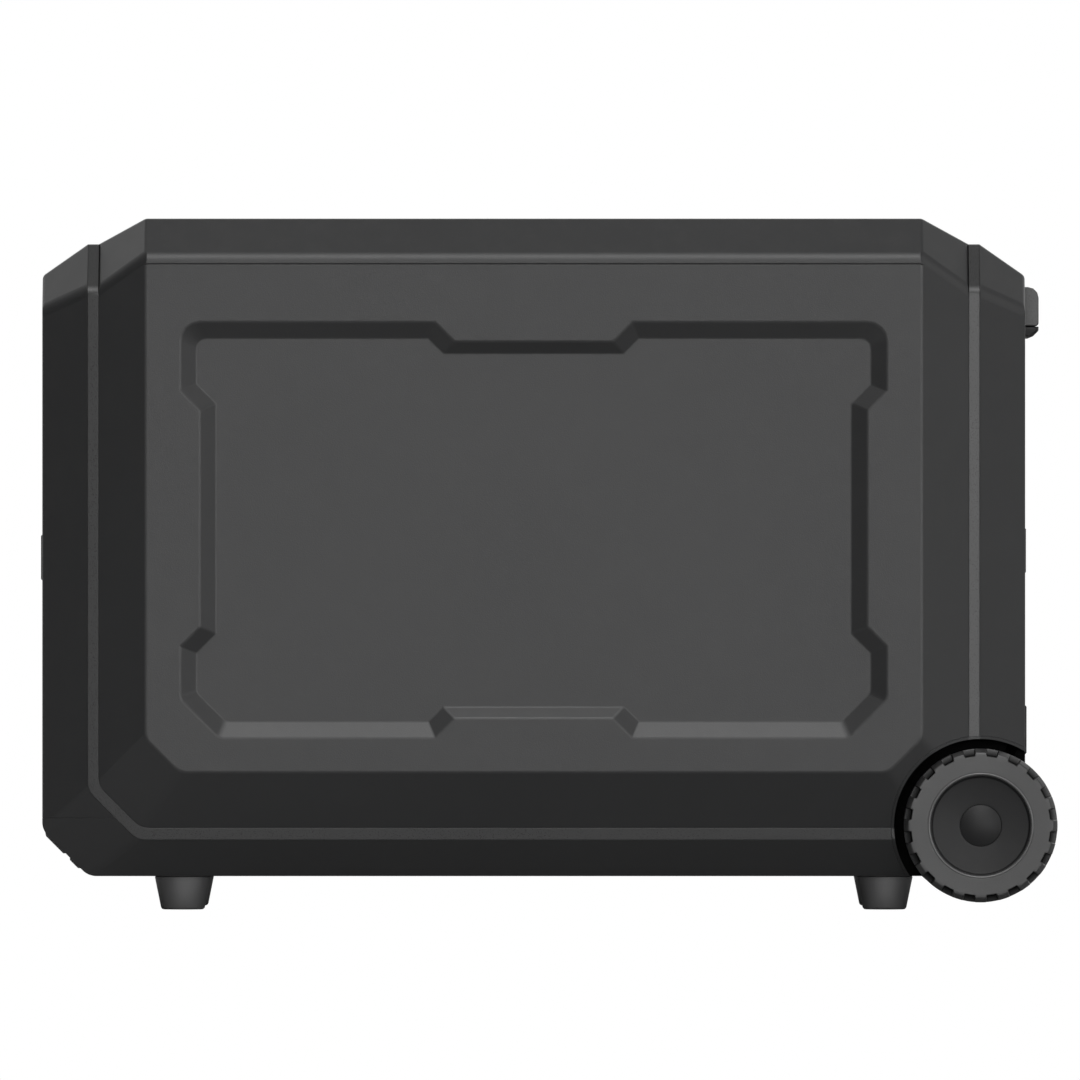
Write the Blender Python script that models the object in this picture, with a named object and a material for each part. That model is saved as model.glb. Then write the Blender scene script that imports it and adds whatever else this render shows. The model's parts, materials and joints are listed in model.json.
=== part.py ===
"""Wheeled battery pack on four feet, with a telescoping pull handle, in metres, +Z up.

+X points from the control end to the wheel end, and -Y is the left side. The floor is Z = 0.
All shapes are drawn about the middle of the housing, and the last step moves the whole object
along X so that the middle of its bounding box lies over the origin.
"""

import math

import bmesh
import bpy
from mathutils import Vector

# Driving dimensions. Each one is set here once.
BODY_LENGTH = 0.640
BODY_WIDTH = 0.350
BODY_TOP = 0.450
FOOT_HEIGHT = 0.0221

# The crown is the raised middle of the housing. Its end, side and bottom slopes meet the belt.
CROWN_END_SLOPE = 0.0307
BELT_WIDTH = 0.0071
OUTER_END_SLOPE = 0.0297
TERRACE_DEPTH = 0.0165
OUTER_DEPTH = 0.0205
TOP_BEVEL = 0.0245
BELT_BEVEL = 0.0295
END_BEVEL = 0.0220
PLATEAU_BOTTOM = 0.0898
BELT_INNER_BOTTOM = 0.0536
BELT_OUTER_BOTTOM = 0.0458
PLATEAU_CORNER = 0.0223
BELT_CORNER = 0.0274
END_CORNER = 0.0300
CORNER_RADIUS = 0.013
CORNER_TURNS = (15, 30, 60, 75)
WALL = 0.003
GAP = 0.0003
SEAM_DROP = 0.0051
TRIM_DEPTH = 0.008
CAP_BOTTOM = 0.060

# Recessed panel in each side.
PANEL_DEPTH = 0.005
PANEL_END_MARGIN = 0.0227
PANEL_TOP_MARGIN = 0.0674
PANEL_BOTTOM_MARGIN = 0.0224
PANEL_WALL_RUN = 0.0104
PANEL_NOTCH_RUN = 0.0075
PANEL_NOTCH_HALF = 0.0514
PANEL_NOTCH_DEPTH = 0.0127
PANEL_HEAD_HEIGHT = 0.0447
PANEL_BASE_HEIGHT = 0.0595
PANEL_WAIST_DEPTH = 0.0127
PANEL_CORNER_RADIUS = 0.0125
PANEL_LOW_CORNER = 0.0252

# Wheels and axle.
WHEEL_INSET = 0.0293
WHEEL_LIFT = 0.0052
WHEEL_RADIUS = 0.050
TREAD_DEPTH = 0.0042
TREAD_LUGS = 20
SHOULDER_WIDTH = 0.011
TYRE_WIDTH = 0.036
TYRE_SHOULDER = 0.004
RIM_RADIUS = 0.034
RIM_FLANGE = 0.0016
DISH_DEPTH = 0.006
HUB_CAP_RADIUS = 0.0132
ARCH_CLEARANCE = 0.006
ARCH_WALL = 0.002
AXLE_RADIUS = 0.006
RUNNING_GAP = 0.0004

# Feet.
FOOT_END_INSET = 0.0912
FOOT_SIDE_INSET = 0.030
FOOT_TOP_RADIUS = 0.0184
FOOT_BOTTOM_RADIUS = 0.0141
FOOT_EDGE = 0.0015

# Telescoping handle.
TUBE_INSET = 0.0105
SLEEVE_RADIUS = 0.0100
MID_RADIUS = 0.0082
INNER_RADIUS = 0.0062
TUBE_WALL = 0.0014
STAGE_TRAVEL = 0.240
TUBE_OVERLAP = 0.036
POCKET_SIDE_MARGIN = 0.032
POCKET_CLEARANCE = 0.0275
TUBE_SIDE_INSET = 0.024
POCKET_DEPTH = 0.0265
GRIP_DROP = 0.044
GRIP_HEIGHT = 0.0325
GRIP_PROUD = 0.0095
GRIP_THICKNESS = 0.0325
GRIP_SIDE_GAP = 0.007
GRIP_CORNER = 0.007
PAD_HEIGHT = 0.007
BUTTON_HALF_WIDTH = 0.014

# Front controls.
PANEL_OPENING_MARGIN = 0.034
PANEL_OPENING_BOTTOM = 0.095
PANEL_OPENING_DROP = 0.085
PLATE_THICKNESS = 0.003
PLATE_OVERLAP = 0.006
FLAP_PROUD = 0.002
FLAP_BOTTOM = 0.2145
FLAP_TOP = 0.2445
FLAP_HALF_WIDTH = 0.070
FLAP_MARGIN = 0.002
FLAP_RIM = 0.004
FLAP_HINGE_RADIUS = 0.0009
DISPLAY_DROP = 0.043
DISPLAY_GAP = 0.030
POWER_BUTTON_RADIUS = 0.009
POWER_BUTTON_INSET = 0.029
SWITCH_INSET = 0.026
SOCKET_Z = 0.150
SOCKET_RADIUS = 0.013
SOCKET_BORE = 0.005
SOCKET_SPACING = 0.042
SOCKET_INSET = 0.024

# Rear ports and fan.
CHARGE_BOTTOM = 0.219
CHARGE_TOP = 0.249
CHARGE_HALF_WIDTH = 0.050
LINK_BOTTOM = 0.1005
LINK_TOP = 0.133
LINK_HALF_WIDTH = 0.044
LINK_PROUD = 0.0025
PLUG_DEPTH = 0.0025
VENT_Z = 0.176
VENT_HALF = 0.034
FAN_DEPTH = 0.014
FAN_BORE = 0.030
FAN_TIP_GAP = 0.0015
FAN_HUB_RADIUS = 0.012
FAN_BLADES = 7

# Cells and electronics inside.
CELL_THICKNESS = 0.050
CELL_WIDTH = 0.160
CELL_HEIGHT = 0.118
CELLS_PER_MODULE = 4
MODULE_GAP = 0.004
DECK_THICKNESS = 0.003
DECK_LIFT = 0.004
END_PLATE = 0.004

# Values worked out from the ones above.
HALF = BODY_LENGTH / 2
SIDE = BODY_WIDTH / 2
X_CROWN = HALF - OUTER_END_SLOPE - BELT_WIDTH - CROWN_END_SLOPE
X_BELT_IN = X_CROWN + CROWN_END_SLOPE
X_BELT_OUT = X_BELT_IN + BELT_WIDTH
Y_BELT = SIDE - TERRACE_DEPTH
Z_BELT = BODY_TOP - TERRACE_DEPTH
Y_END = Y_BELT - OUTER_DEPTH
Z_END = Z_BELT - OUTER_DEPTH
BELT_OUT_CORNER = BELT_CORNER + BELT_WIDTH * (2 - math.sqrt(2))
BELT_OUT_CORNER += BELT_INNER_BOTTOM - BELT_OUTER_BOTTOM - BELT_WIDTH
PANEL_HALF_LENGTH = X_CROWN - PANEL_END_MARGIN
PANEL_TOP = BODY_TOP - PANEL_TOP_MARGIN
PANEL_BOTTOM = PLATEAU_BOTTOM + PANEL_BOTTOM_MARGIN
PANEL_WAIST_TOP = PANEL_TOP - PANEL_HEAD_HEIGHT
PANEL_WAIST_BOTTOM = PANEL_BOTTOM + PANEL_BASE_HEIGHT
WHEEL_X = HALF - WHEEL_INSET
WHEEL_Z = WHEEL_RADIUS + WHEEL_LIFT
FOOT_X = HALF - FOOT_END_INSET
FOOT_Y = Y_END - FOOT_SIDE_INSET
GRIP_TOP = BODY_TOP - GRIP_DROP
GRIP_BOTTOM = GRIP_TOP - GRIP_HEIGHT
POCKET_FLOOR = GRIP_BOTTOM - POCKET_CLEARANCE
POCKET_HALF_WIDTH = Y_END - POCKET_SIDE_MARGIN
GRIP_HALF_WIDTH = POCKET_HALF_WIDTH - GRIP_SIDE_GAP
HANDLE_TRACK = 2 * (POCKET_HALF_WIDTH - TUBE_SIDE_INSET)
SLEEVE_BOTTOM = POCKET_FLOOR - STAGE_TRAVEL - TUBE_OVERLAP
PANEL_OPENING_HALF = Y_END - PANEL_OPENING_MARGIN
PANEL_OPENING_TOP = BODY_TOP - PANEL_OPENING_DROP
DISPLAY_Z = PANEL_OPENING_TOP - DISPLAY_DROP
POWER_BUTTON_Y = POWER_BUTTON_INSET - PANEL_OPENING_HALF
SWITCH_Y = SWITCH_INSET - PANEL_OPENING_HALF
MIDDLE = Vector((0, 0, (BODY_TOP + FOOT_HEIGHT) / 2))
ARCH_RADIUS = WHEEL_RADIUS + ARCH_CLEARANCE
WHEEL_OUT = SIDE
WHEEL_IN = SIDE - TYRE_WIDTH
ARCH_INNER = WHEEL_IN - ARCH_CLEARANCE
TUBE_X = HALF - WALL - TUBE_INSET
POCKET_BACK = HALF - POCKET_DEPTH
FAR = 1.0
SHIFT_X = -((WHEEL_X + WHEEL_RADIUS) - (HALF + FLAP_PROUD)) / 2


# ---- helpers -------------------------------------------------------------------------------

def clear_scene():
    for obj in list(bpy.data.objects):
        bpy.data.objects.remove(obj, do_unlink=True)


def add_object(name, bm):
    bmesh.ops.recalc_face_normals(bm, faces=bm.faces)
    mesh = bpy.data.meshes.new(name)
    bm.to_mesh(mesh)
    bm.free()
    obj = bpy.data.objects.new(name, mesh)
    bpy.context.scene.collection.objects.link(obj)
    return obj


def facet(a, b, c, inset=0.0):
    """Plane through three points as (normal, distance), facing away from the middle."""
    a = Vector(a)
    normal = (Vector(b) - a).cross(Vector(c) - a).normalized()
    if normal.dot(MIDDLE - a) > 0:
        normal = -normal
    return normal, normal.dot(a) - inset


def mirrored_facets(triples, inset=0.0):
    """The plane of each triple of points, copied to both ends and both sides."""
    planes = []
    for triple in triples:
        for end in (-1, 1):
            for side in (-1, 1):
                points = [(end * x, side * y, z) for x, y, z in triple]
                plane = facet(*points, inset)
                key = [round(v, 7) for v in (*plane[0], plane[1])]
                if key not in [k for k, _ in planes]:
                    planes.append((key, plane))
    return [plane for _, plane in planes]


def convex(name, planes):
    """The solid inside every plane."""
    bm = bmesh.new()
    bmesh.ops.create_cube(bm, size=2 * FAR)
    for normal, distance in planes:
        geometry = bm.verts[:] + bm.edges[:] + bm.faces[:]
        cut = bmesh.ops.bisect_plane(
            bm, geom=geometry, dist=1e-7, plane_co=normal * distance,
            plane_no=normal, clear_outer=True)["geom_cut"]
        edges = [item for item in cut if isinstance(item, bmesh.types.BMEdge)]
        bmesh.ops.holes_fill(bm, edges=edges, sides=0)
    bmesh.ops.remove_doubles(bm, verts=bm.verts, dist=1e-6)
    return add_object(name, bm)


def box(name, low, high):
    bm = bmesh.new()
    bmesh.ops.create_cube(bm, size=1.0)
    for vert in bm.verts:
        for axis in range(3):
            vert.co[axis] = high[axis] if vert.co[axis] > 0 else low[axis]
    return add_object(name, bm)


def on_axis(axis, u, v, w):
    """A point from its place (u, v) across an axis and w along it."""
    return {"X": (w, u, v), "Y": (u, w, v), "Z": (u, v, w)}[axis]


def loft(name, rings, axis):
    """A closed solid through rings of equally many (u, v) points, each at its place w."""
    bm = bmesh.new()
    rows = [[bm.verts.new(on_axis(axis, u, v, w)) for u, v in ring] for ring, w in rings]
    for lower, upper in zip(rows, rows[1:]):
        for i in range(len(lower)):
            j = (i + 1) % len(lower)
            bm.faces.new((lower[i], lower[j], upper[j], upper[i]))
    bm.faces.new(rows[0][::-1])
    bm.faces.new(rows[-1])
    return add_object(name, bm)


def prism(name, outline, axis, low, high):
    return loft(name, [(outline, low), (outline, high)], axis)


def turned(name, profile, axis, centre, segments=32):
    """A closed loop of (radius, place) points spun about an axis; radius 0 is a pole."""
    bm = bmesh.new()
    rows = []
    for radius, place in profile:
        count = segments if radius > 0 else 1
        row = []
        for i in range(count):
            angle = 2 * math.pi * (i + 0.5) / segments
            point = on_axis(axis, radius * math.cos(angle), radius * math.sin(angle), place)
            row.append(bm.verts.new(Vector(point) + Vector(centre)))
        rows.append(row)
    for first, second in zip(rows, rows[1:] + rows[:1]):
        if len(first) == 1 and len(second) == 1:
            continue
        for i in range(segments):
            j = (i + 1) % segments
            ring = [first[i % len(first)], first[j % len(first)],
                    second[j % len(second)], second[i % len(second)]]
            bm.faces.new(list(dict.fromkeys(ring)))
    return add_object(name, bm)


def tube(name, outer, inner, axis, centre, low, high, segments=24):
    profile = [(outer, low), (outer, high), (inner, high), (inner, low)]
    return turned(name, profile, axis, centre, segments)


def rod(name, radius, axis, centre, low, high, segments=24):
    return turned(name, [(0, low), (radius, low), (radius, high), (0, high)],
                  axis, centre, segments)


def boolean(target, tool, operation, keep=False):
    """Joins, cuts or intersects target with tool, and removes the tool."""
    modifier = target.modifiers.new(operation.title(), "BOOLEAN")
    modifier.operation = operation
    modifier.solver = "EXACT"
    modifier.object = tool
    graph = bpy.context.evaluated_depsgraph_get()
    graph.update()
    mesh = bpy.data.meshes.new_from_object(target.evaluated_get(graph))
    target.modifiers.clear()
    target.data = mesh
    if not keep:
        bpy.data.objects.remove(tool, do_unlink=True)
    return target


def cut(target, *tools):
    for tool in tools:
        boolean(target, tool, "DIFFERENCE")
    return target


def unite(target, *tools):
    for tool in tools:
        boolean(target, tool, "UNION")
    return target


def common(target, *tools):
    for tool in tools:
        boolean(target, tool, "INTERSECT")
    return target


def rounded_rectangle(u, v, half_u, half_v, radius, steps=3):
    outline = []
    for corner, (su, sv) in enumerate(((1, 1), (-1, 1), (-1, -1), (1, -1))):
        for i in range(steps + 1):
            angle = math.pi / 2 * (corner + i / steps)
            outline.append((u + su * (half_u - radius) + radius * math.cos(angle),
                            v + sv * (half_v - radius) + radius * math.sin(angle)))
    return outline


def offset_outline(outline, distances):
    """Each edge of an outline moved inwards by its own distance, with mitred corners."""
    count = len(outline)
    area = sum(outline[i - 1][0] * outline[i][1] - outline[i][0] * outline[i - 1][1]
               for i in range(count))
    turn = 1 if area > 0 else -1
    lines = []
    for i in range(count):
        start = Vector(outline[i])
        along = (Vector(outline[(i + 1) % count]) - start).normalized()
        inward = Vector((-along.y, along.x)) * turn
        lines.append((start + inward * distances[i], along))
    moved = []
    for i in range(count):
        (p, d), (q, e) = lines[i - 1], lines[i]
        across = d.x * e.y - d.y * e.x
        t = ((q.x - p.x) * e.y - (q.y - p.y) * e.x) / across
        moved.append((p.x + d.x * t, p.y + d.y * t))
    return moved


def rounded_outline(outline, radii, steps=4):
    """An outline whose corners with a radius above 0 become arcs."""
    points = []
    for i, corner in enumerate(outline):
        here = Vector(corner)
        if radii[i] <= 0:
            points.append(corner)
            continue
        back = (Vector(outline[i - 1]) - here).normalized()
        ahead = (Vector(outline[(i + 1) % len(outline)]) - here).normalized()
        half = back.angle(ahead) / 2
        reach = radii[i] / math.tan(half)
        centre = here + (back + ahead).normalized() * (radii[i] / math.sin(half))
        start = here + back * reach - centre
        sweep = (here + ahead * reach - centre).angle_signed(start)
        for k in range(steps + 1):
            angle = sweep * k / steps
            points.append((
                centre.x + start.x * math.cos(angle) - start.y * math.sin(angle),
                centre.y + start.x * math.sin(angle) + start.y * math.cos(angle)))
    return points


def finish(obj, colour, roughness, metallic=0.0, pivot=None, smooth=False):
    """Gives an object its material and, where it moves, an origin on its joint's axis."""
    material = bpy.data.materials.new(obj.name)
    material.use_nodes = True
    shader = material.node_tree.nodes["Principled BSDF"]
    shader.inputs["Base Color"].default_value = (*colour, 1.0)
    shader.inputs["Roughness"].default_value = roughness
    shader.inputs["Metallic"].default_value = metallic
    obj.data.materials.clear()
    obj.data.materials.append(material)
    if pivot is not None:
        for vert in obj.data.vertices:
            vert.co -= Vector(pivot)
        obj.location = pivot
    if smooth:
        obj.data.shade_smooth()
        obj.data.set_sharp_from_angle(angle=math.radians(35))
    return obj


SHELL = dict(colour=(0.042, 0.043, 0.044), roughness=0.55)
TRIM = dict(colour=(0.060, 0.061, 0.063), roughness=0.45)
BLACK = dict(colour=(0.012, 0.012, 0.013), roughness=0.60)
RUBBER = dict(colour=(0.040, 0.040, 0.041), roughness=0.75)
STEEL = dict(colour=(0.45, 0.45, 0.46), roughness=0.35, metallic=1.0)
ALUMINIUM = dict(colour=(0.60, 0.61, 0.62), roughness=0.30, metallic=1.0)
COPPER = dict(colour=(0.72, 0.38, 0.22), roughness=0.30, metallic=1.0)


# ---- housing -------------------------------------------------------------------------------

def tangent(x, z, corner, radius, turn):
    """A point on the rounded outline of a cut lower corner, and its direction there.

    The corner runs from the upright edge at x, over a 45 degree cut, to the lower edge at z.
    An arc rounds each end of the cut; turn is the outline's angle from upright, in degrees.
    """
    reach = radius * math.tan(math.radians(22.5))
    if turn < 45:
        centre = (x - radius, z + corner + reach)
    else:
        centre = (x - corner - reach, z + radius)
    angle = math.radians(turn)
    point = (centre[0] + radius * math.cos(angle), centre[1] - radius * math.sin(angle))
    return point, (-math.sin(angle), -math.cos(angle))


def corner_facets(high, low):
    """Planes of the rounded lower corner between two levels, each (x, y, z, corner, radius)."""
    triples = []
    for turn in CORNER_TURNS:
        (ax, az), (dx, dz) = tangent(high[0], high[2], high[3], high[4], turn)
        (bx, bz), _ = tangent(low[0], low[2], low[3], low[4], turn)
        triples.append(((ax, high[1], az), (ax + dx, high[1], az + dz), (bx, low[1], bz)))
    return triples


def crown_planes(inset=0.0):
    """Planes of the raised middle: flat sides and top, with slopes down to the belt."""
    belt_low = BODY_TOP - TERRACE_DEPTH - BELT_BEVEL
    triples = [
        ((0, SIDE, 0), (1, SIDE, 0), (0, SIDE, 1)),
        ((0, 0, BODY_TOP), (1, 0, BODY_TOP), (0, 1, BODY_TOP)),
        ((0, SIDE, BODY_TOP - TOP_BEVEL), (1, SIDE, BODY_TOP - TOP_BEVEL),
         (0, SIDE - TOP_BEVEL, BODY_TOP)),
        ((X_CROWN, SIDE, 0), (X_BELT_IN, Y_BELT, 0), (X_CROWN, SIDE, 1)),
        ((X_CROWN, 0, BODY_TOP), (X_BELT_IN, 0, Z_BELT), (X_CROWN, 1, BODY_TOP)),
        ((X_CROWN, SIDE, BODY_TOP - TOP_BEVEL), (X_CROWN, SIDE - TOP_BEVEL, BODY_TOP),
         (X_BELT_IN, Y_BELT, belt_low)),
        ((0, SIDE, PLATEAU_BOTTOM), (1, SIDE, PLATEAU_BOTTOM),
         (0, Y_BELT, BELT_INNER_BOTTOM)),
        ((X_CROWN, SIDE, PLATEAU_BOTTOM + PLATEAU_CORNER),
         (X_CROWN - PLATEAU_CORNER, SIDE, PLATEAU_BOTTOM),
         (X_BELT_IN, Y_BELT, BELT_INNER_BOTTOM + BELT_CORNER)),
    ]
    triples += corner_facets(
        (X_CROWN, SIDE, PLATEAU_BOTTOM, PLATEAU_CORNER, CORNER_RADIUS),
        (X_BELT_IN, Y_BELT, BELT_INNER_BOTTOM, BELT_CORNER, CORNER_RADIUS))
    return mirrored_facets(triples, inset)


def crown_limits(extra):
    """Planes that end the crown under the belt, moved outwards by an extra amount."""
    x = (X_BELT_IN + X_BELT_OUT) / 2
    z = (BELT_INNER_BOTTOM + BELT_OUTER_BOTTOM) / 2
    corner = (BELT_CORNER + BELT_OUT_CORNER) / 2
    triples = [
        ((x, 0, 0), (x, 1, 0), (x, 0, 1)),
        ((0, 0, z), (1, 0, z), (0, 1, z)),
        ((x, 0, z + corner), (x - corner, 0, z), (x, 1, z + corner)),
    ]
    return mirrored_facets(triples, -extra)


def outer_planes(inset=0.0):
    """Planes of the rest: belt level, slopes out to the end faces, and the underside."""
    belt_low = Z_BELT - BELT_BEVEL
    low = FOOT_HEIGHT
    triples = [
        ((0, Y_BELT, 0), (1, Y_BELT, 0), (0, Y_BELT, 1)),
        ((0, 0, Z_BELT), (1, 0, Z_BELT), (0, 1, Z_BELT)),
        ((0, Y_BELT, belt_low), (1, Y_BELT, belt_low), (0, Y_BELT - BELT_BEVEL, Z_BELT)),
        ((X_BELT_OUT, Y_BELT, 0), (HALF, Y_END, 0), (X_BELT_OUT, Y_BELT, 1)),
        ((X_BELT_OUT, 0, Z_BELT), (HALF, 0, Z_END), (X_BELT_OUT, 1, Z_BELT)),
        ((X_BELT_OUT, Y_BELT, belt_low), (X_BELT_OUT, Y_BELT - BELT_BEVEL, Z_BELT),
         (HALF, Y_END, Z_END - END_BEVEL)),
        ((0, Y_BELT, BELT_OUTER_BOTTOM), (1, Y_BELT, BELT_OUTER_BOTTOM), (0, Y_END, low)),
        ((X_BELT_OUT, Y_BELT, BELT_OUTER_BOTTOM + BELT_OUT_CORNER),
         (X_BELT_OUT - BELT_OUT_CORNER, Y_BELT, BELT_OUTER_BOTTOM),
         (HALF, Y_END, low + END_CORNER)),
        ((HALF, 0, 0), (HALF, 1, 0), (HALF, 0, 1)),
        ((0, 0, low), (1, 0, low), (0, 1, low)),
        ((HALF, 0, low + END_CORNER), (HALF - END_CORNER, 0, low),
         (HALF, 1, low + END_CORNER)),
    ]
    triples += corner_facets(
        (X_BELT_OUT, Y_BELT, BELT_OUTER_BOTTOM, BELT_OUT_CORNER, CORNER_RADIUS),
        (HALF, Y_END, low, END_CORNER, CORNER_RADIUS))
    for turn in CORNER_TURNS:
        (x, z), (dx, dz) = tangent(HALF, low, END_CORNER, CORNER_RADIUS, turn)
        triples.append(((x, 0, z), (x, 1, z), (x + dx, 0, z + dz)))
    return mirrored_facets(triples, inset)


def belt_outline(x, z, corner, inset):
    """Side view of the belt's inner or outer edge, open upwards, moved inwards."""
    outline = [(-x, FAR), (-x, z + corner), (-x + corner, z),
               (x - corner, z), (x, z + corner), (x, FAR)]
    outline = offset_outline(outline, [inset] * 5 + [0])
    radii = [0] + [CORNER_RADIUS - inset] * 4 + [0]
    return rounded_outline(outline, radii, 3)


def inside_belt(name, inset):
    outline = belt_outline(X_BELT_IN, BELT_INNER_BOTTOM, BELT_CORNER, inset)
    return prism(name, outline, "Y", -FAR, FAR)


def outside_belt(name, inset):
    outline = belt_outline(X_BELT_OUT, BELT_OUTER_BOTTOM, BELT_OUT_CORNER, inset)
    return prism(name, outline, "Y", -FAR, FAR)


def above_seam(name, drop):
    """Everything above the seam between the top cover and the side covers."""
    seam = BODY_TOP - TOP_BEVEL - SEAM_DROP - drop
    belt_seam = Z_BELT - BELT_BEVEL - SEAM_DROP - drop
    fall = (seam - belt_seam) / CROWN_END_SLOPE
    end = X_BELT_OUT + BELT_WIDTH
    low = seam - fall * (end - X_CROWN)
    outline = [(-end, FAR), (-end, low), (-X_CROWN, seam), (X_CROWN, seam),
               (end, low), (end, FAR)]
    return prism(name, outline, "Y", -FAR, FAR)


def wheel_well(name, side, radius, inner):
    """Cylinder about the axle from a place beside the wheel outwards."""
    low, high = sorted((side * inner, side * FAR))
    return rod(name, radius, "Y", (WHEEL_X, 0, WHEEL_Z), low, high, 48)


def cut_wheel_wells(obj):
    for side in (-1, 1):
        cut(obj, wheel_well("well", side, ARCH_RADIUS + ARCH_WALL + GAP,
                            ARCH_INNER - ARCH_WALL - GAP))
    return obj


def crown_shell(name):
    shell = convex(name, crown_planes() + crown_limits(0))
    common(shell, inside_belt("clip", GAP / 2))
    cut(shell, convex("hollow", crown_planes(WALL) + crown_limits(0.02)))
    return shell


def top_cover():
    cover = crown_shell("top_cover")
    common(cover, above_seam("clip", -GAP / 2))
    return finish(cover, **SHELL)


def panel_outline(wall):
    """Side view of the recessed panel: the wall's outer edge, or its inner edge when set."""
    half = PANEL_HALF_LENGTH
    notch = PANEL_NOTCH_HALF
    depth = PANEL_NOTCH_DEPTH
    waist = PANEL_WAIST_DEPTH
    low = PANEL_LOW_CORNER
    right = [
        (notch, PANEL_BOTTOM + depth), (notch + depth, PANEL_BOTTOM),
        (half - low, PANEL_BOTTOM), (half, PANEL_BOTTOM + low),
        (half, PANEL_WAIST_BOTTOM), (half - waist, PANEL_WAIST_BOTTOM + waist),
        (half - waist, PANEL_WAIST_TOP - waist), (half, PANEL_WAIST_TOP),
        (half, PANEL_TOP), (notch + depth, PANEL_TOP), (notch, PANEL_TOP - depth),
    ]
    outline = right + [(-u, v) for u, v in reversed(right)]
    if wall:
        runs = [PANEL_WALL_RUN] * len(outline)
        runs[10] = PANEL_NOTCH_RUN
        runs[21] = PANEL_NOTCH_RUN
        outline = offset_outline(outline, runs)
    radii = [0.0] * len(outline)
    for corner in (8, 13):
        radii[corner] = PANEL_CORNER_RADIUS * (0.55 if wall else 1.0)
    for corner in (2, 3, 18, 19):
        radii[corner] = PANEL_CORNER_RADIUS * 0.6
    return rounded_outline(outline, radii)


def side_cover(name, side):
    """Flat side with its slopes: a shallow pan with a recessed panel."""
    cover = crown_shell(name)
    low, high = sorted((side * GAP, side * FAR))
    common(cover, box("half", (-FAR, low, -FAR), (FAR, high, FAR)))
    cut(cover, above_seam("clip", GAP / 2))
    floor = SIDE - PANEL_DEPTH
    low, high = sorted((side * (floor - WALL), side * (SIDE - WALL / 2)))
    backing = box("backing", (-PANEL_HALF_LENGTH - WALL, low, PANEL_BOTTOM - WALL),
                  (PANEL_HALF_LENGTH + WALL, high, PANEL_TOP + WALL))
    unite(cover, backing)
    outer = panel_outline(False)
    inner = panel_outline(True)
    out = 0.001
    flared = [(a + (a - c) * out / PANEL_DEPTH, b + (b - d) * out / PANEL_DEPTH)
              for (a, b), (c, d) in zip(outer, inner)]
    recess = loft("recess", [(flared, side * (SIDE + out)), (inner, side * floor)], "Y")
    cut(cover, recess)
    cut_wheel_wells(cover)
    return finish(cover, **SHELL)


def belt_trim(name, end):
    """Strip round the housing at belt level, from over the top down to the wheel."""
    trim = convex(name, outer_planes())
    common(trim, outside_belt("clip", GAP / 2))
    cut(trim, inside_belt("clip", -GAP / 2))
    cut(trim, convex("core", outer_planes(TRIM_DEPTH)))
    cut_wheel_wells(trim)
    split = WHEEL_X - ARCH_RADIUS / 2
    low, high = (-FAR, split) if end < 0 else (split, FAR)
    common(trim, box("end", (low, -FAR, -FAR), (high, FAR, FAR)))
    return finish(trim, **TRIM)


def outer_shell(name, lining=None):
    """Shell outside the belt; a lining stays solid where it reaches into the hollow."""
    shell = convex(name, outer_planes())
    cut(shell, outside_belt("clip", -GAP / 2))
    hollow = convex("hollow", outer_planes(WALL))
    if lining is not None:
        cut(hollow, lining)
    cut(shell, hollow)
    return shell


def end_cap(name, end, lining=None):
    """One end of the housing above the base tray."""
    cap = outer_shell(name, lining)
    low, high = sorted((0, end * FAR))
    common(cap, box("end", (low, -FAR, CAP_BOTTOM + GAP / 2), (high, FAR, FAR)))
    return cap


def front_end_cap():
    cap = end_cap("front_end_cap", -1)
    opening = box("opening", (-HALF - 0.01, -PANEL_OPENING_HALF, PANEL_OPENING_BOTTOM),
                  (-HALF + WALL + 0.002, PANEL_OPENING_HALF, PANEL_OPENING_TOP))
    cut(cap, opening)
    return finish(cap, **SHELL)


def handle_pocket(name, growth):
    """Notch for the grip, open at the top and at the rear, with an even growth."""
    half = POCKET_HALF_WIDTH + growth
    low = (POCKET_BACK - growth, -half, POCKET_FLOOR - growth)
    return box(name, low, (HALF + 0.05, half, BODY_TOP + 0.05))


def rear_end_cap():
    cap = end_cap("rear_end_cap", 1, handle_pocket("lining", WALL))
    cut(cap, handle_pocket("pocket", 0))
    for y in (-HANDLE_TRACK / 2, HANDLE_TRACK / 2):
        cut(cap, rod("tube_hole", MID_RADIUS + RUNNING_GAP, "Z", (TUBE_X, y, 0),
                     POCKET_FLOOR - 0.01, POCKET_FLOOR + 0.01))
    inside, outside = HALF - WALL - 0.002, HALF + 0.01
    cut(cap, box("vent", (inside, -VENT_HALF, VENT_Z - VENT_HALF),
                 (outside, VENT_HALF, VENT_Z + VENT_HALF)))
    for low, high, half in ((CHARGE_BOTTOM, CHARGE_TOP, CHARGE_HALF_WIDTH),
                            (LINK_BOTTOM, LINK_TOP, LINK_HALF_WIDTH)):
        cut(cap, box("port", (inside, -half + FLAP_RIM, low + FLAP_RIM),
                     (outside, half - FLAP_RIM, high - FLAP_RIM)))
    cut_wheel_wells(cap)
    return finish(cap, **SHELL)


def base_tray():
    """Underside of the housing with its lower slopes and the feet of both end faces."""
    tray = outer_shell("base_tray")
    common(tray, box("low", (-FAR, -FAR, -FAR), (FAR, FAR, CAP_BOTTOM - GAP / 2)))
    cut_wheel_wells(tray)
    return finish(tray, **SHELL)


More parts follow.
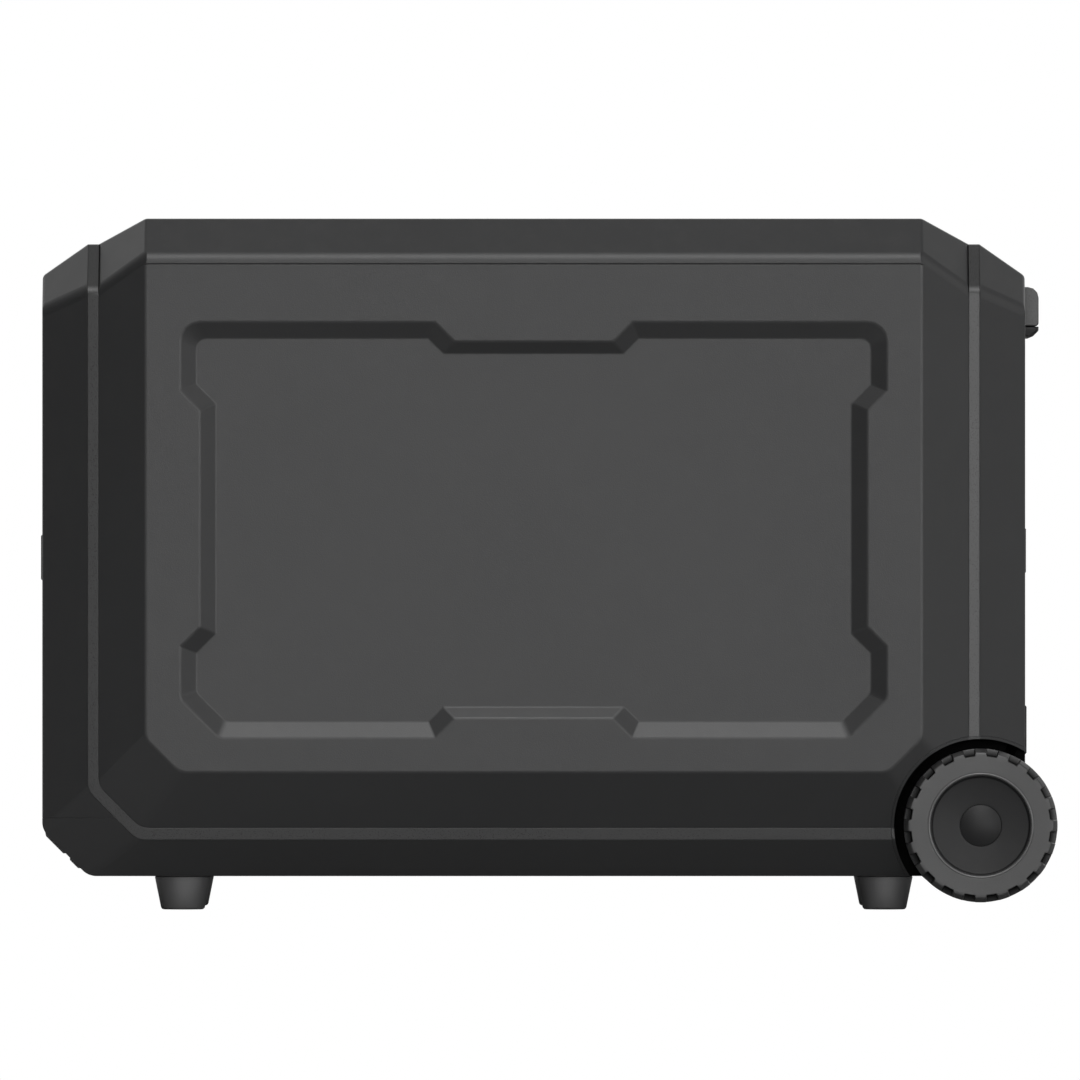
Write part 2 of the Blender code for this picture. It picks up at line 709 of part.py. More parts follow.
def wheel_arch(name, side):
    """Liner of the wheel well, with the inner wall that carries the axle."""
    liner = convex(name, outer_planes())
    unite(liner, convex("crown", crown_planes() + crown_limits(0)))
    common(liner, wheel_well("well", side, ARCH_RADIUS + ARCH_WALL,
                             ARCH_INNER - ARCH_WALL))
    cut(liner, wheel_well("well", side, ARCH_RADIUS, ARCH_INNER))
    cut(liner, rod("axle_hole", AXLE_RADIUS + RUNNING_GAP, "Y", (WHEEL_X, 0, WHEEL_Z),
                   -FAR, FAR))
    return finish(liner, **BLACK)


def lift_pad():
    """Two ribs for the fingers on the slanted lower front corner."""
    half = 0.062
    slope = 1 / math.sqrt(2)
    middle = Vector((-HALF + END_CORNER / 2, FOOT_HEIGHT + END_CORNER / 2))
    along = Vector((slope, -slope))
    out = Vector((-slope, -slope))
    stations = [(-0.0195, GAP), (-0.0195, 0.0010), (-0.0170, 0.0026), (-0.0010, 0.0026),
                (0.0005, 0.0010), (0.0035, 0.0010), (0.0050, 0.0026), (0.0125, 0.0026),
                (0.0145, 0.0010), (0.0145, GAP)]
    outline = [tuple(middle + along * s + out * h) for s, h in stations]
    return finish(prism("lift_pad", outline, "Y", -half, half), **RUBBER)


def build_housing():
    top_cover()
    side_cover("side_cover_left", -1)
    side_cover("side_cover_right", 1)
    belt_trim("belt_trim_front", -1)
    belt_trim("belt_trim_rear", 1)
    front_end_cap()
    rear_end_cap()
    base_tray()
    wheel_arch("wheel_arch_left", -1)
    wheel_arch("wheel_arch_right", 1)
    lift_pad()


# ---- feet and wheels -----------------------------------------------------------------------

def build_feet():
    top = FOOT_HEIGHT - GAP
    profile = [(0, 0), (FOOT_BOTTOM_RADIUS - FOOT_EDGE, 0),
               (FOOT_BOTTOM_RADIUS, FOOT_EDGE), (FOOT_TOP_RADIUS, top), (0, top)]
    for end, along in (("front", -1), ("rear", 1)):
        for side, across in (("left", -1), ("right", 1)):
            centre = (along * FOOT_X, across * FOOT_Y, 0)
            foot = turned("foot_" + end + "_" + side, profile, "Z", centre, 32)
            finish(foot, **RUBBER, smooth=True)


def tread_outline():
    """Circle of lugs with straight notches between them."""
    root = WHEEL_RADIUS - TREAD_DEPTH
    points = []
    for lug in range(TREAD_LUGS):
        for turn, radius in ((0.0, root), (0.48, root), (0.54, WHEEL_RADIUS),
                             (0.74, WHEEL_RADIUS), (0.94, WHEEL_RADIUS)):
            angle = 2 * math.pi * (lug + turn) / TREAD_LUGS
            points.append((WHEEL_X + radius * math.cos(angle),
                           WHEEL_Z + radius * math.sin(angle)))
    return points


def tyre(name, side):
    centre = (WHEEL_X, 0, WHEEL_Z)
    low, high = sorted((side * WHEEL_IN, side * WHEEL_OUT))
    shape = prism(name, tread_outline(), "Y", low, high)
    unite(shape, rod("crown", WHEEL_RADIUS - 0.0004, "Y", centre, low + SHOULDER_WIDTH,
                     high - SHOULDER_WIDTH, 48))
    chamfer = WHEEL_RADIUS + 0.001
    shoulders = [(0, low), (chamfer - TYRE_SHOULDER, low), (chamfer, low + TYRE_SHOULDER),
                 (chamfer, high - TYRE_SHOULDER), (chamfer - TYRE_SHOULDER, high), (0, high)]
    common(shape, turned("shoulders", shoulders, "Y", centre, 48))
    cut(shape, rod("bore", RIM_RADIUS, "Y", centre, low - 0.01, high + 0.01, 48))
    return finish(shape, **RUBBER, pivot=centre, smooth=True)


def rim(name, side):
    """Dished wheel centre that turns on the axle."""
    centre = (WHEEL_X, 0, WHEEL_Z)
    outer = RIM_RADIUS - GAP
    out = WHEEL_OUT - 0.0005
    profile = [
        (AXLE_RADIUS + RUNNING_GAP, WHEEL_IN), (outer, WHEEL_IN), (outer, out),
        (outer - RIM_FLANGE, out), (outer - RIM_FLANGE - 0.001, out - 0.0012),
        (HUB_CAP_RADIUS + 0.0035, out - DISH_DEPTH), (HUB_CAP_RADIUS + GAP, out - DISH_DEPTH),
        (HUB_CAP_RADIUS + GAP, out - DISH_DEPTH - 0.004),
        (AXLE_RADIUS + RUNNING_GAP, out - DISH_DEPTH - 0.004)]
    spun = [(radius, side * place) for radius, place in profile]
    shape = turned(name, spun, "Y", centre, 48)
    return finish(shape, **BLACK, pivot=centre, smooth=True)


def hub_cap(name, side):
    centre = (WHEEL_X, 0, WHEEL_Z)
    floor = WHEEL_OUT - 0.0005 - DISH_DEPTH - 0.004 + GAP
    crown = WHEEL_OUT - 0.0015
    edge = crown - 0.0035
    profile = [(0, floor), (HUB_CAP_RADIUS, floor), (HUB_CAP_RADIUS, edge)]
    for step in range(1, 5):
        angle = math.pi / 2 * step / 5
        profile.append((HUB_CAP_RADIUS * math.cos(angle),
                        edge + (crown - edge) * math.sin(angle)))
    profile.append((0, crown))
    spun = [(radius, side * place) for radius, place in profile]
    shape = turned(name, spun, "Y", centre, 32)
    return finish(shape, **BLACK, pivot=centre, smooth=True)


def build_wheels():
    centre = (WHEEL_X, 0, WHEEL_Z)
    for side, across in (("left", -1), ("right", 1)):
        tyre("tyre_" + side, across)
        rim("rim_" + side, across)
        hub_cap("hub_cap_" + side, across)
        low, high = sorted((across * (ARCH_INNER + GAP), across * (WHEEL_IN - GAP)))
        washer = tube("axle_washer_" + side, AXLE_RADIUS + 0.004, AXLE_RADIUS + RUNNING_GAP,
                      "Y", centre, low, high)
        finish(washer, **STEEL, smooth=True)
    end = WHEEL_OUT - 0.0005 - DISH_DEPTH - 0.004 - GAP
    axle = rod("axle", AXLE_RADIUS, "Y", centre, -end, end)
    finish(axle, **STEEL, smooth=True)


# ---- telescoping handle --------------------------------------------------------------------

def handle_tubes(name, y):
    """A fixed sleeve, a middle tube and an inner tube, each sliding in the one outside it."""
    centre = (TUBE_X, y, 0)
    sleeve_top = POCKET_FLOOR - WALL - GAP
    pivot = (TUBE_X, y, sleeve_top)
    bore = MID_RADIUS + RUNNING_GAP
    sleeve = tube("sleeve_" + name, SLEEVE_RADIUS, bore, "Z", centre, SLEEVE_BOTTOM, sleeve_top)
    finish(sleeve, **ALUMINIUM, smooth=True)
    mid_top = POCKET_FLOOR + 0.004
    mid_low = SLEEVE_BOTTOM + 0.004
    mid_bore = INNER_RADIUS + RUNNING_GAP
    profile = [(MID_RADIUS, mid_low), (MID_RADIUS, POCKET_FLOOR + GAP),
               (MID_RADIUS + 0.0012, POCKET_FLOOR + GAP), (MID_RADIUS + 0.0012, mid_top),
               (mid_bore, mid_top), (mid_bore, mid_low)]
    mid = turned("mid_tube_" + name, profile, "Z", centre, 24)
    finish(mid, **ALUMINIUM, pivot=pivot, smooth=True)
    inner = tube("inner_tube_" + name, INNER_RADIUS, INNER_RADIUS - TUBE_WALL, "Z", centre,
                 mid_low + 0.004, GRIP_BOTTOM + 0.012, 20)
    finish(inner, **ALUMINIUM, pivot=pivot, smooth=True)


def grip_outline(growth=0.0):
    """Side view of the grip: a bar with rounded upper corners and a slanted lower edge."""
    right = HALF + GRIP_PROUD
    left = right - GRIP_THICKNESS
    low = GRIP_BOTTOM + PAD_HEIGHT
    outline = [(left, low), (right, low), (right, GRIP_TOP), (left, GRIP_TOP)]
    outline = offset_outline(outline, [-growth] * 4)
    return rounded_outline(outline, [0.002, 0.002, GRIP_CORNER, GRIP_CORNER], 3)


def build_grip():
    pivot = (TUBE_X, 0, POCKET_FLOOR)
    right = HALF + GRIP_PROUD
    left = right - GRIP_THICKNESS
    low = GRIP_BOTTOM + PAD_HEIGHT
    grip = prism("handle_grip", grip_outline(), "Y", -GRIP_HALF_WIDTH, GRIP_HALF_WIDTH)
    for y in (-HANDLE_TRACK / 2, HANDLE_TRACK / 2):
        cut(grip, rod("socket", INNER_RADIUS + GAP, "Z", (TUBE_X, y, 0), low - 0.01,
                      GRIP_BOTTOM + 0.012 + GAP, 20))
    middle = (left + right) / 2
    well = box("well", (middle - 0.0075, -BUTTON_HALF_WIDTH - GAP, GRIP_TOP - 0.006),
               (middle + 0.0075, BUTTON_HALF_WIDTH + GAP, GRIP_TOP + 0.01))
    cut(grip, well)
    finish(grip, **TRIM, pivot=pivot)
    button = box("release_button",
                 (middle - 0.0075 + GAP, -BUTTON_HALF_WIDTH, GRIP_TOP - 0.0035),
                 (middle + 0.0075 - GAP, BUTTON_HALF_WIDTH, GRIP_TOP - 0.0002))
    finish(button, **BLACK, pivot=(middle, 0, GRIP_TOP))
    chamfer = 0.004
    outline = [(left, low - GAP), (left, GRIP_BOTTOM + chamfer), (left + chamfer, GRIP_BOTTOM),
               (right - chamfer, GRIP_BOTTOM), (right, GRIP_BOTTOM + chamfer),
               (right, low - GAP)]
    pad = prism("grip_pad", outline, "Y", -GRIP_HALF_WIDTH, GRIP_HALF_WIDTH)
    for y in (-HANDLE_TRACK / 2, HANDLE_TRACK / 2):
        cut(pad, rod("hole", INNER_RADIUS + GAP, "Z", (TUBE_X, y, 0), GRIP_BOTTOM - 0.01,
                     low + 0.01, 20))
    finish(pad, **BLACK, pivot=pivot)


def build_handle():
    handle_tubes("left", -HANDLE_TRACK / 2)
    handle_tubes("right", HANDLE_TRACK / 2)
    build_grip()


# ---- front controls ------------------------------------------------------------------------

PLATE_FRONT = -HALF + WALL + GAP
PLATE_BACK = PLATE_FRONT + PLATE_THICKNESS
PORT_HALF_WIDTH = FLAP_HALF_WIDTH + FLAP_MARGIN
PORT_LOW = FLAP_BOTTOM - FLAP_MARGIN
PORT_HIGH = FLAP_TOP + FLAP_MARGIN


def build_front_panel():
    plate = box("front_panel",
                (PLATE_FRONT, -PANEL_OPENING_HALF - PLATE_OVERLAP,
                 PANEL_OPENING_BOTTOM - PLATE_OVERLAP),
                (PLATE_BACK, PANEL_OPENING_HALF + PLATE_OVERLAP,
                 PANEL_OPENING_TOP + PLATE_OVERLAP))
    before, behind = PLATE_FRONT - 0.01, PLATE_BACK + 0.01
    cut(plate, rod("button_hole", POWER_BUTTON_RADIUS + GAP, "X",
                   (0, POWER_BUTTON_Y, DISPLAY_Z), before, behind, 32))
    cut(plate, box("port_hole", (before, -PORT_HALF_WIDTH - GAP, PORT_LOW - GAP),
                   (behind, PORT_HALF_WIDTH + GAP, PORT_HIGH + GAP)))
    cut(plate, box("switch_hole", (before, SWITCH_Y - 0.0165, SOCKET_Z - 0.0125),
                   (behind, SWITCH_Y + 0.0165, SOCKET_Z + 0.0125)))
    for y in socket_places():
        cut(plate, rod("socket_hole", SOCKET_RADIUS - 0.002, "X", (0, y, SOCKET_Z),
                       before, behind, 32))
    finish(plate, **BLACK)


def socket_places():
    last = PANEL_OPENING_HALF - SOCKET_INSET
    return last - SOCKET_SPACING, last


def build_display():
    out = PLATE_FRONT - GAP
    low = POWER_BUTTON_Y + POWER_BUTTON_RADIUS + DISPLAY_GAP
    high = PANEL_OPENING_HALF - DISPLAY_GAP
    outline = rounded_rectangle((low + high) / 2, DISPLAY_Z, (high - low) / 2, 0.024, 0.003)
    lens = prism("display_lens", outline, "X", out - 0.002, out)
    finish(lens, colour=(0.006, 0.008, 0.010), roughness=0.08)


def build_power_button():
    """Round push button with a flange behind the plate, which stops it coming out."""
    face = PLATE_FRONT - 0.0025
    back = PLATE_BACK + GAP
    profile = [(0, face), (POWER_BUTTON_RADIUS - 0.0006, face),
               (POWER_BUTTON_RADIUS, face + 0.0006), (POWER_BUTTON_RADIUS, back),
               (POWER_BUTTON_RADIUS + 0.0015, back),
               (POWER_BUTTON_RADIUS + 0.0015, back + 0.0015), (0, back + 0.0015)]
    centre = (0, POWER_BUTTON_Y, DISPLAY_Z)
    button = turned("power_button", profile, "X", centre, 32)
    finish(button, **STEEL, pivot=(face, POWER_BUTTON_Y, DISPLAY_Z), smooth=True)


def build_main_switch():
    """Rocker between two end stops in a rectangular bezel."""
    out = PLATE_FRONT - GAP
    bezel = box("switch_bezel", (out - 0.0015, SWITCH_Y - 0.0195, SOCKET_Z - 0.0155),
                (out, SWITCH_Y + 0.0195, SOCKET_Z + 0.0155))
    unite(bezel, box("body", (out - 0.001, SWITCH_Y - 0.016, SOCKET_Z - 0.012),
                     (PLATE_BACK + 0.020, SWITCH_Y + 0.016, SOCKET_Z + 0.012)))
    cut(bezel, box("well", (out - 0.01, SWITCH_Y - 0.0135, SOCKET_Z - 0.0095),
                   (PLATE_BACK + 0.014, SWITCH_Y + 0.0135, SOCKET_Z + 0.0095)))
    finish(bezel, **BLACK)
    pivot = (out + 0.0045, SWITCH_Y, SOCKET_Z)
    half, tilt = 0.0088, math.radians(10)
    points = []
    for step in range(9):
        angle = math.pi * (step / 8 - 0.5) * 0.86
        points.append((half * math.cos(angle) * 0.98, half * math.sin(angle)))
    front = [(-0.0052, 0.0084), (-0.0030, 0.0), (-0.0052, -0.0084)]
    turned_points = []
    for x, z in points + front:
        turned_points.append((pivot[0] + x * math.cos(tilt) - z * math.sin(tilt),
                              pivot[2] + x * math.sin(tilt) + z * math.cos(tilt)))
    rocker = prism("switch_rocker", turned_points, "Y", SWITCH_Y - 0.0132, SWITCH_Y + 0.0132)
    finish(rocker, **BLACK, pivot=pivot)


def build_output_sockets():
    """Round outlet sockets with a collar in front of the plate."""
    colours = ((0.45, 0.02, 0.015), (0.015, 0.015, 0.016))
    names = ("socket_positive", "socket_negative")
    out = PLATE_FRONT - GAP
    for name, colour, y in zip(names, colours, socket_places()):
        barrel = SOCKET_RADIUS - 0.002 - GAP
        profile = [
            (0, PLATE_BACK + 0.022), (barrel, PLATE_BACK + 0.022), (barrel, out),
            (SOCKET_RADIUS, out), (SOCKET_RADIUS, out - 0.0015),
            (SOCKET_RADIUS - 0.001, out - 0.0025), (SOCKET_BORE, out - 0.0025),
            (SOCKET_BORE, PLATE_BACK + 0.014), (0, PLATE_BACK + 0.014)]
        socket = turned(name, profile, "X", (0, y, SOCKET_Z), 32)
        finish(socket, colour=colour, roughness=0.4, smooth=True)


def flap(name, face, direction, half, low, high, proud):
    """Hinged rubber-edged cover, with a barrel along its top and a plug that enters the port."""
    near, far = sorted((face + direction * GAP, face + direction * proud))
    chamfer = proud * 0.45
    outer = face + direction * proud
    inner = face + direction * GAP
    ease = direction * 0.0004
    outline = [(inner, low), (inner, high - 0.0005), (inner + ease, high),
               (outer - direction * chamfer, high),
               (outer, high - chamfer), (outer, low + chamfer),
               (outer - direction * chamfer, low)]
    plate = prism(name, outline, "Y", -half, half)
    rim_width = FLAP_RIM + 0.0008
    ends = sorted((face - direction * PLUG_DEPTH, face + direction * (GAP + proud) / 2))
    plug = box("plug", (ends[0], -half + rim_width, low + rim_width),
               (ends[1], half - rim_width, high - rim_width - 0.001))
    unite(plate, plug)
    pivot = ((near + far) / 2, 0, high - FLAP_HINGE_RADIUS)
    return finish(plate, **BLACK, pivot=pivot)


def build_comm_ports():
    """Signal port block that fills the plate's window, with three sockets in its face."""
    face = -HALF
    back = PLATE_BACK + 0.018
    block = box("comm_ports", (face, -PORT_HALF_WIDTH, PORT_LOW),
                (back, PORT_HALF_WIDTH, PORT_HIGH))
    cut(block, box("rebate", (face - 0.01, -FLAP_HALF_WIDTH + FLAP_RIM, FLAP_BOTTOM + FLAP_RIM),
                   (face + PLUG_DEPTH + 0.0005, FLAP_HALF_WIDTH - FLAP_RIM,
                    FLAP_TOP - FLAP_RIM)))
    for y in (-0.036, 0.0, 0.036):
        cut(block, box("port", (face, y - 0.010, FLAP_BOTTOM + FLAP_RIM + 0.004),
                       (face + 0.017, y + 0.010, FLAP_TOP - FLAP_RIM - 0.004)))
    finish(block, **BLACK)


def build_comm_flap():
    flap("comm_flap", -HALF, -1, FLAP_HALF_WIDTH, FLAP_BOTTOM, FLAP_TOP, FLAP_PROUD)


def build_front():
    build_front_panel()
    build_display()
    build_power_button()
    build_main_switch()
    build_output_sockets()
    build_comm_ports()
    build_comm_flap()


# ---- rear ports and fan --------------------------------------------------------------------

def rear_socket(name, half, low, high, cavities):
    """Socket block behind a port opening in the rear wall, with its cavities."""
    face = HALF - WALL - GAP
    block = box(name, (face - 0.018, -half, low), (face, half, high))
    for y, half_y in cavities:
        cut(block, box("cavity", (face - 0.014, y - half_y, low + 0.0085),
                       (face + 0.01, y + half_y, high - 0.0085)))
    return finish(block, **BLACK)


def build_rear_ports():
    rear_socket("charge_inlet", CHARGE_HALF_WIDTH, CHARGE_BOTTOM, CHARGE_TOP,
                ((-0.020, 0.012), (0.020, 0.012)))
    flap("charge_flap", HALF, 1, CHARGE_HALF_WIDTH, CHARGE_BOTTOM, CHARGE_TOP, FLAP_PROUD)
    rear_socket("link_socket", LINK_HALF_WIDTH, LINK_BOTTOM, LINK_TOP, ((0.0, 0.026),))
    flap("link_flap", HALF, 1, LINK_HALF_WIDTH, LINK_BOTTOM, LINK_TOP, LINK_PROUD)


def build_vent():
    half = VENT_HALF - GAP
    low, high = VENT_Z - half, VENT_Z + half
    grille = box("vent_grille", (HALF - WALL, -half, low), (HALF - 0.0002, half, high))
    slots = 7
    pitch = 2 * half / slots
    for i in range(slots):
        z = low + pitch * (i + 0.5)
        cut(grille, box("slot", (HALF - 0.01, -half + 0.004, z - pitch * 0.27),
                        (HALF + 0.01, half - 0.004, z + pitch * 0.27)))
    finish(grille, **BLACK)


def build_fan():
    back = HALF - WALL - GAP
    front = back - FAN_DEPTH
    half = VENT_HALF + 0.002
    centre = (0, 0, VENT_Z)
    frame = box("fan_frame", (front, -half, VENT_Z - half), (back, half, VENT_Z + half))
    cut(frame, rod("bore", FAN_BORE, "X", centre, front - 0.01, back + 0.01, 40))
    plate_end = front + 0.002
    for width, height in ((FAN_BORE + 0.001, 0.002), (0.002, FAN_BORE + 0.001)):
        unite(frame, box("strut", (front, -width, VENT_Z - height),
                         (plate_end, width, VENT_Z + height)))
    unite(frame, rod("motor", FAN_HUB_RADIUS, "X", centre, front, plate_end))
    finish(frame, **BLACK)
    hub_low, hub_high = plate_end + GAP, back - 0.0015
    tip = FAN_BORE - FAN_TIP_GAP
    rotor = rod("fan_rotor", FAN_HUB_RADIUS, "X", centre, hub_low, hub_high)
    for blade in range(FAN_BLADES):
        angle = 2 * math.pi * blade / FAN_BLADES
        rows = []
        for reach, pitch in ((FAN_HUB_RADIUS * 0.8, 40), (tip, 25)):
            middle = (hub_low + hub_high) / 2
            tall = math.sin(math.radians(pitch)) * 0.006
            wide = math.cos(math.radians(pitch)) * 0.0065
            rows.append([(middle - tall, reach, -wide), (middle - tall + 0.0012, reach, -wide),
                         (middle + tall + 0.0012, reach, wide), (middle + tall, reach, wide)])
        unite(rotor, blade_solid(rows, angle))
    finish(rotor, **BLACK, pivot=((hub_low + hub_high) / 2, 0, VENT_Z))


def blade_solid(rows, angle):
    """A four-sided blade between two sections, turned about the fan's axis."""
    bm = bmesh.new()
    ends = []
    for row in rows:
        verts = []
        for x, reach, across in row:
            y = reach * math.cos(angle) - across * math.sin(angle)
            z = reach * math.sin(angle) + across * math.cos(angle)
            verts.append(bm.verts.new((x, y, VENT_Z + z)))
        ends.append(verts)
    for i in range(4):
        j = (i + 1) % 4
        bm.faces.new((ends[0][i], ends[0][j], ends[1][j], ends[1][i]))
    bm.faces.new(ends[0][::-1])
    bm.faces.new(ends[1])
    return add_object("blade", bm)


def build_rear():
    build_rear_ports()
    build_vent()
    build_fan()


# ---- cells and electronics -----------------------------------------------------------------

MODULE_LENGTH = CELL_THICKNESS * CELLS_PER_MODULE
DECK_BOTTOM = FOOT_HEIGHT + WALL + GAP
DECK_TOP = DECK_BOTTOM + DECK_LIFT + DECK_THICKNESS
PACK_HALF = MODULE_LENGTH + MODULE_GAP / 2
PACK_HALF_WIDTH = CELL_WIDTH / 2
LOWER_Z = DECK_TOP + GAP
UPPER_Z = LOWER_Z + CELL_HEIGHT + MODULE_GAP
PACK_TOP = UPPER_Z + CELL_HEIGHT


def cell_module(name, x, z):
    """Four prismatic cells as one block, with a groove between neighbours."""
    low, high = x, x + MODULE_LENGTH
    block = box(name, (low, -PACK_HALF_WIDTH, z), (high, PACK_HALF_WIDTH, z + CELL_HEIGHT))
    for i in range(1, CELLS_PER_MODULE):
        groove = low + i * CELL_THICKNESS
        for side in (-1, 1):
            edges = sorted((side * PACK_HALF_WIDTH * 1.1, side * (PACK_HALF_WIDTH - 0.001)))
            cut(block, box("groove", (groove - 0.0007, edges[0], z - 0.01),
                           (groove + 0.0007, edges[1], z + CELL_HEIGHT + 0.01)))
    return finish(block, colour=(0.03, 0.11, 0.30), roughness=0.35)


def build_modules():
    half_gap = MODULE_GAP / 2
    for row, z in (("lower", LOWER_Z), ("upper", UPPER_Z)):
        cell_module("cell_module_" + row + "_front", -MODULE_LENGTH - half_gap, z)
        cell_module("cell_module_" + row + "_rear", half_gap, z)


def build_deck():
    """Sheet-metal deck on folded runners, which lifts the cells off the base tray."""
    over = END_PLATE + 0.006
    deck = box("cell_deck", (-PACK_HALF - over, -PACK_HALF_WIDTH - 0.006, DECK_BOTTOM),
               (PACK_HALF + over, PACK_HALF_WIDTH + 0.006, DECK_TOP))
    cut(deck, box("hollow", (-PACK_HALF - over - 0.01, -PACK_HALF_WIDTH, DECK_BOTTOM - 0.01),
                  (PACK_HALF + over + 0.01, PACK_HALF_WIDTH, DECK_BOTTOM + DECK_LIFT)))
    finish(deck, **STEEL)


def build_end_plates():
    """Pressed plates that clamp the stack of cells at both ends, with two ribs each."""
    for name, end in (("end_plate_front", -1), ("end_plate_rear", 1)):
        near = end * (PACK_HALF + GAP)
        far = end * (PACK_HALF + END_PLATE)
        low, high = sorted((near, far))
        plate = box(name, (low, -PACK_HALF_WIDTH, LOWER_Z), (high, PACK_HALF_WIDTH, PACK_TOP))
        for y in (-0.045, 0.045):
            ribs = sorted((far - end * 0.001, far + end * 0.005))
            unite(plate, box("rib", (ribs[0], y - 0.006, LOWER_Z + 0.01),
                             (ribs[1], y + 0.006, PACK_TOP - 0.01)))
        finish(plate, **STEEL)


def build_busbar():
    """Copper link over the upper modules, bent round the gap between them."""
    z = PACK_TOP + GAP
    bar = box("busbar", (-PACK_HALF + 0.02, 0.045, z), (PACK_HALF - 0.02, 0.065, z + 0.003))
    for i in range(1, 2 * CELLS_PER_MODULE):
        x = -PACK_HALF + i * 2 * PACK_HALF / (2 * CELLS_PER_MODULE)
        cut(bar, rod("bolt_hole", 0.003, "Z", (x, 0.055, 0), z - 0.01, z + 0.01, 12))
    finish(bar, **COPPER)


def build_electronics():
    """Management board on standoffs over the cells, with a finned heat sink on it."""
    z = PACK_TOP + GAP
    half_x, half_y = 0.100, 0.034
    middle_y = -0.035
    board = box("management_board", (-half_x, middle_y - half_y, z + 0.008),
                (half_x, middle_y + half_y, z + 0.010))
    for x in (-half_x + 0.006, half_x - 0.006):
        for y in (middle_y - half_y + 0.006, middle_y + half_y - 0.006):
            unite(board, rod("standoff", 0.003, "Z", (x, y, 0), z, z + 0.009, 12))
    finish(board, colour=(0.02, 0.16, 0.06), roughness=0.5)
    base = z + 0.010 + GAP
    sink = box("heat_sink", (-0.07, middle_y - 0.026, base), (0.07, middle_y + 0.026, base + 0.005))
    fins = 7
    for i in range(fins):
        y = middle_y - 0.026 + 0.0015 + i * (0.052 - 0.003) / (fins - 1)
        unite(sink, box("fin", (-0.07, y - 0.0015, base + 0.004), (0.07, y + 0.0015, base + 0.022)))
    finish(sink, **ALUMINIUM)


def build_inside():
    build_deck()
    build_modules()
    build_end_plates()
    build_busbar()
    build_electronics()


def move_over_origin():
    for obj in bpy.data.objects:
        obj.location.x += SHIFT_X


def main():
    clear_scene()
    build_housing()
    build_feet()
    build_wheels()
    build_handle()
    build_front()
    build_rear()
    build_inside()
    move_over_origin()


main()
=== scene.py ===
"""Looks of a wheeled battery pack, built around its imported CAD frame."""

import json
import logging
import math
from dataclasses import dataclass, field
from enum import Enum

import bmesh
import bpy
import numpy as np
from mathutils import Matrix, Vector


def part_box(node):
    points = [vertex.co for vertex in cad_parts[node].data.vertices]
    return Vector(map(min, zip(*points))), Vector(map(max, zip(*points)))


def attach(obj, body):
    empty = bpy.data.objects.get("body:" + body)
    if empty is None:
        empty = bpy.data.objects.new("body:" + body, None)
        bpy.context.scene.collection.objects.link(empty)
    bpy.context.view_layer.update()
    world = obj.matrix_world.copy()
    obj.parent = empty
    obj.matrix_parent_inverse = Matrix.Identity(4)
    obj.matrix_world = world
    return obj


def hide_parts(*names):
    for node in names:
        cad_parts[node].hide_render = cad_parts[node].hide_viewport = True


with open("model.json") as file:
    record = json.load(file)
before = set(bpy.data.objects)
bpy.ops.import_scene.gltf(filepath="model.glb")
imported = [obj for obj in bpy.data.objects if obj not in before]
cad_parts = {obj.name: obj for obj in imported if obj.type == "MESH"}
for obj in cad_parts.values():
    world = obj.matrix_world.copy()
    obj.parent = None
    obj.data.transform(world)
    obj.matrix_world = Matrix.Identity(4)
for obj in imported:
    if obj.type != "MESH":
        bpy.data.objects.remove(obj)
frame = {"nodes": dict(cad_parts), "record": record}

LOG = logging.getLogger("battery_pack")
TAU = 2 * math.pi
WELD_DISTANCE = 2e-6
POLE_DISTANCE = 1e-6
FLAT_ANGLE = math.radians(0.4)
DUST = (0.20, 0.19, 0.18, 1.0)
RUBBER_DUST = (0.16, 0.15, 0.13, 1.0)
# Painted shade colour for the tyre's grooves.
RUBBER_SHADOW = (0.003, 0.003, 0.003, 1.0)
# Painted shadow colour for the wheel well inside the wheel's circle.
ARCH_SHADOW = (0.002, 0.002, 0.002, 1.0)


class Side(Enum):
    """Side of the pack, with the sign of its Y."""

    LEFT = -1
    RIGHT = 1

    @property
    def word(self) -> str:
        """The side's name as used in node names."""
        return self.name.lower()


class Axis(Enum):
    """Axis that a turned profile spins about."""

    X = 0
    Y = 1
    Z = 2


# ---- finishes ------------------------------------------------------------------------------

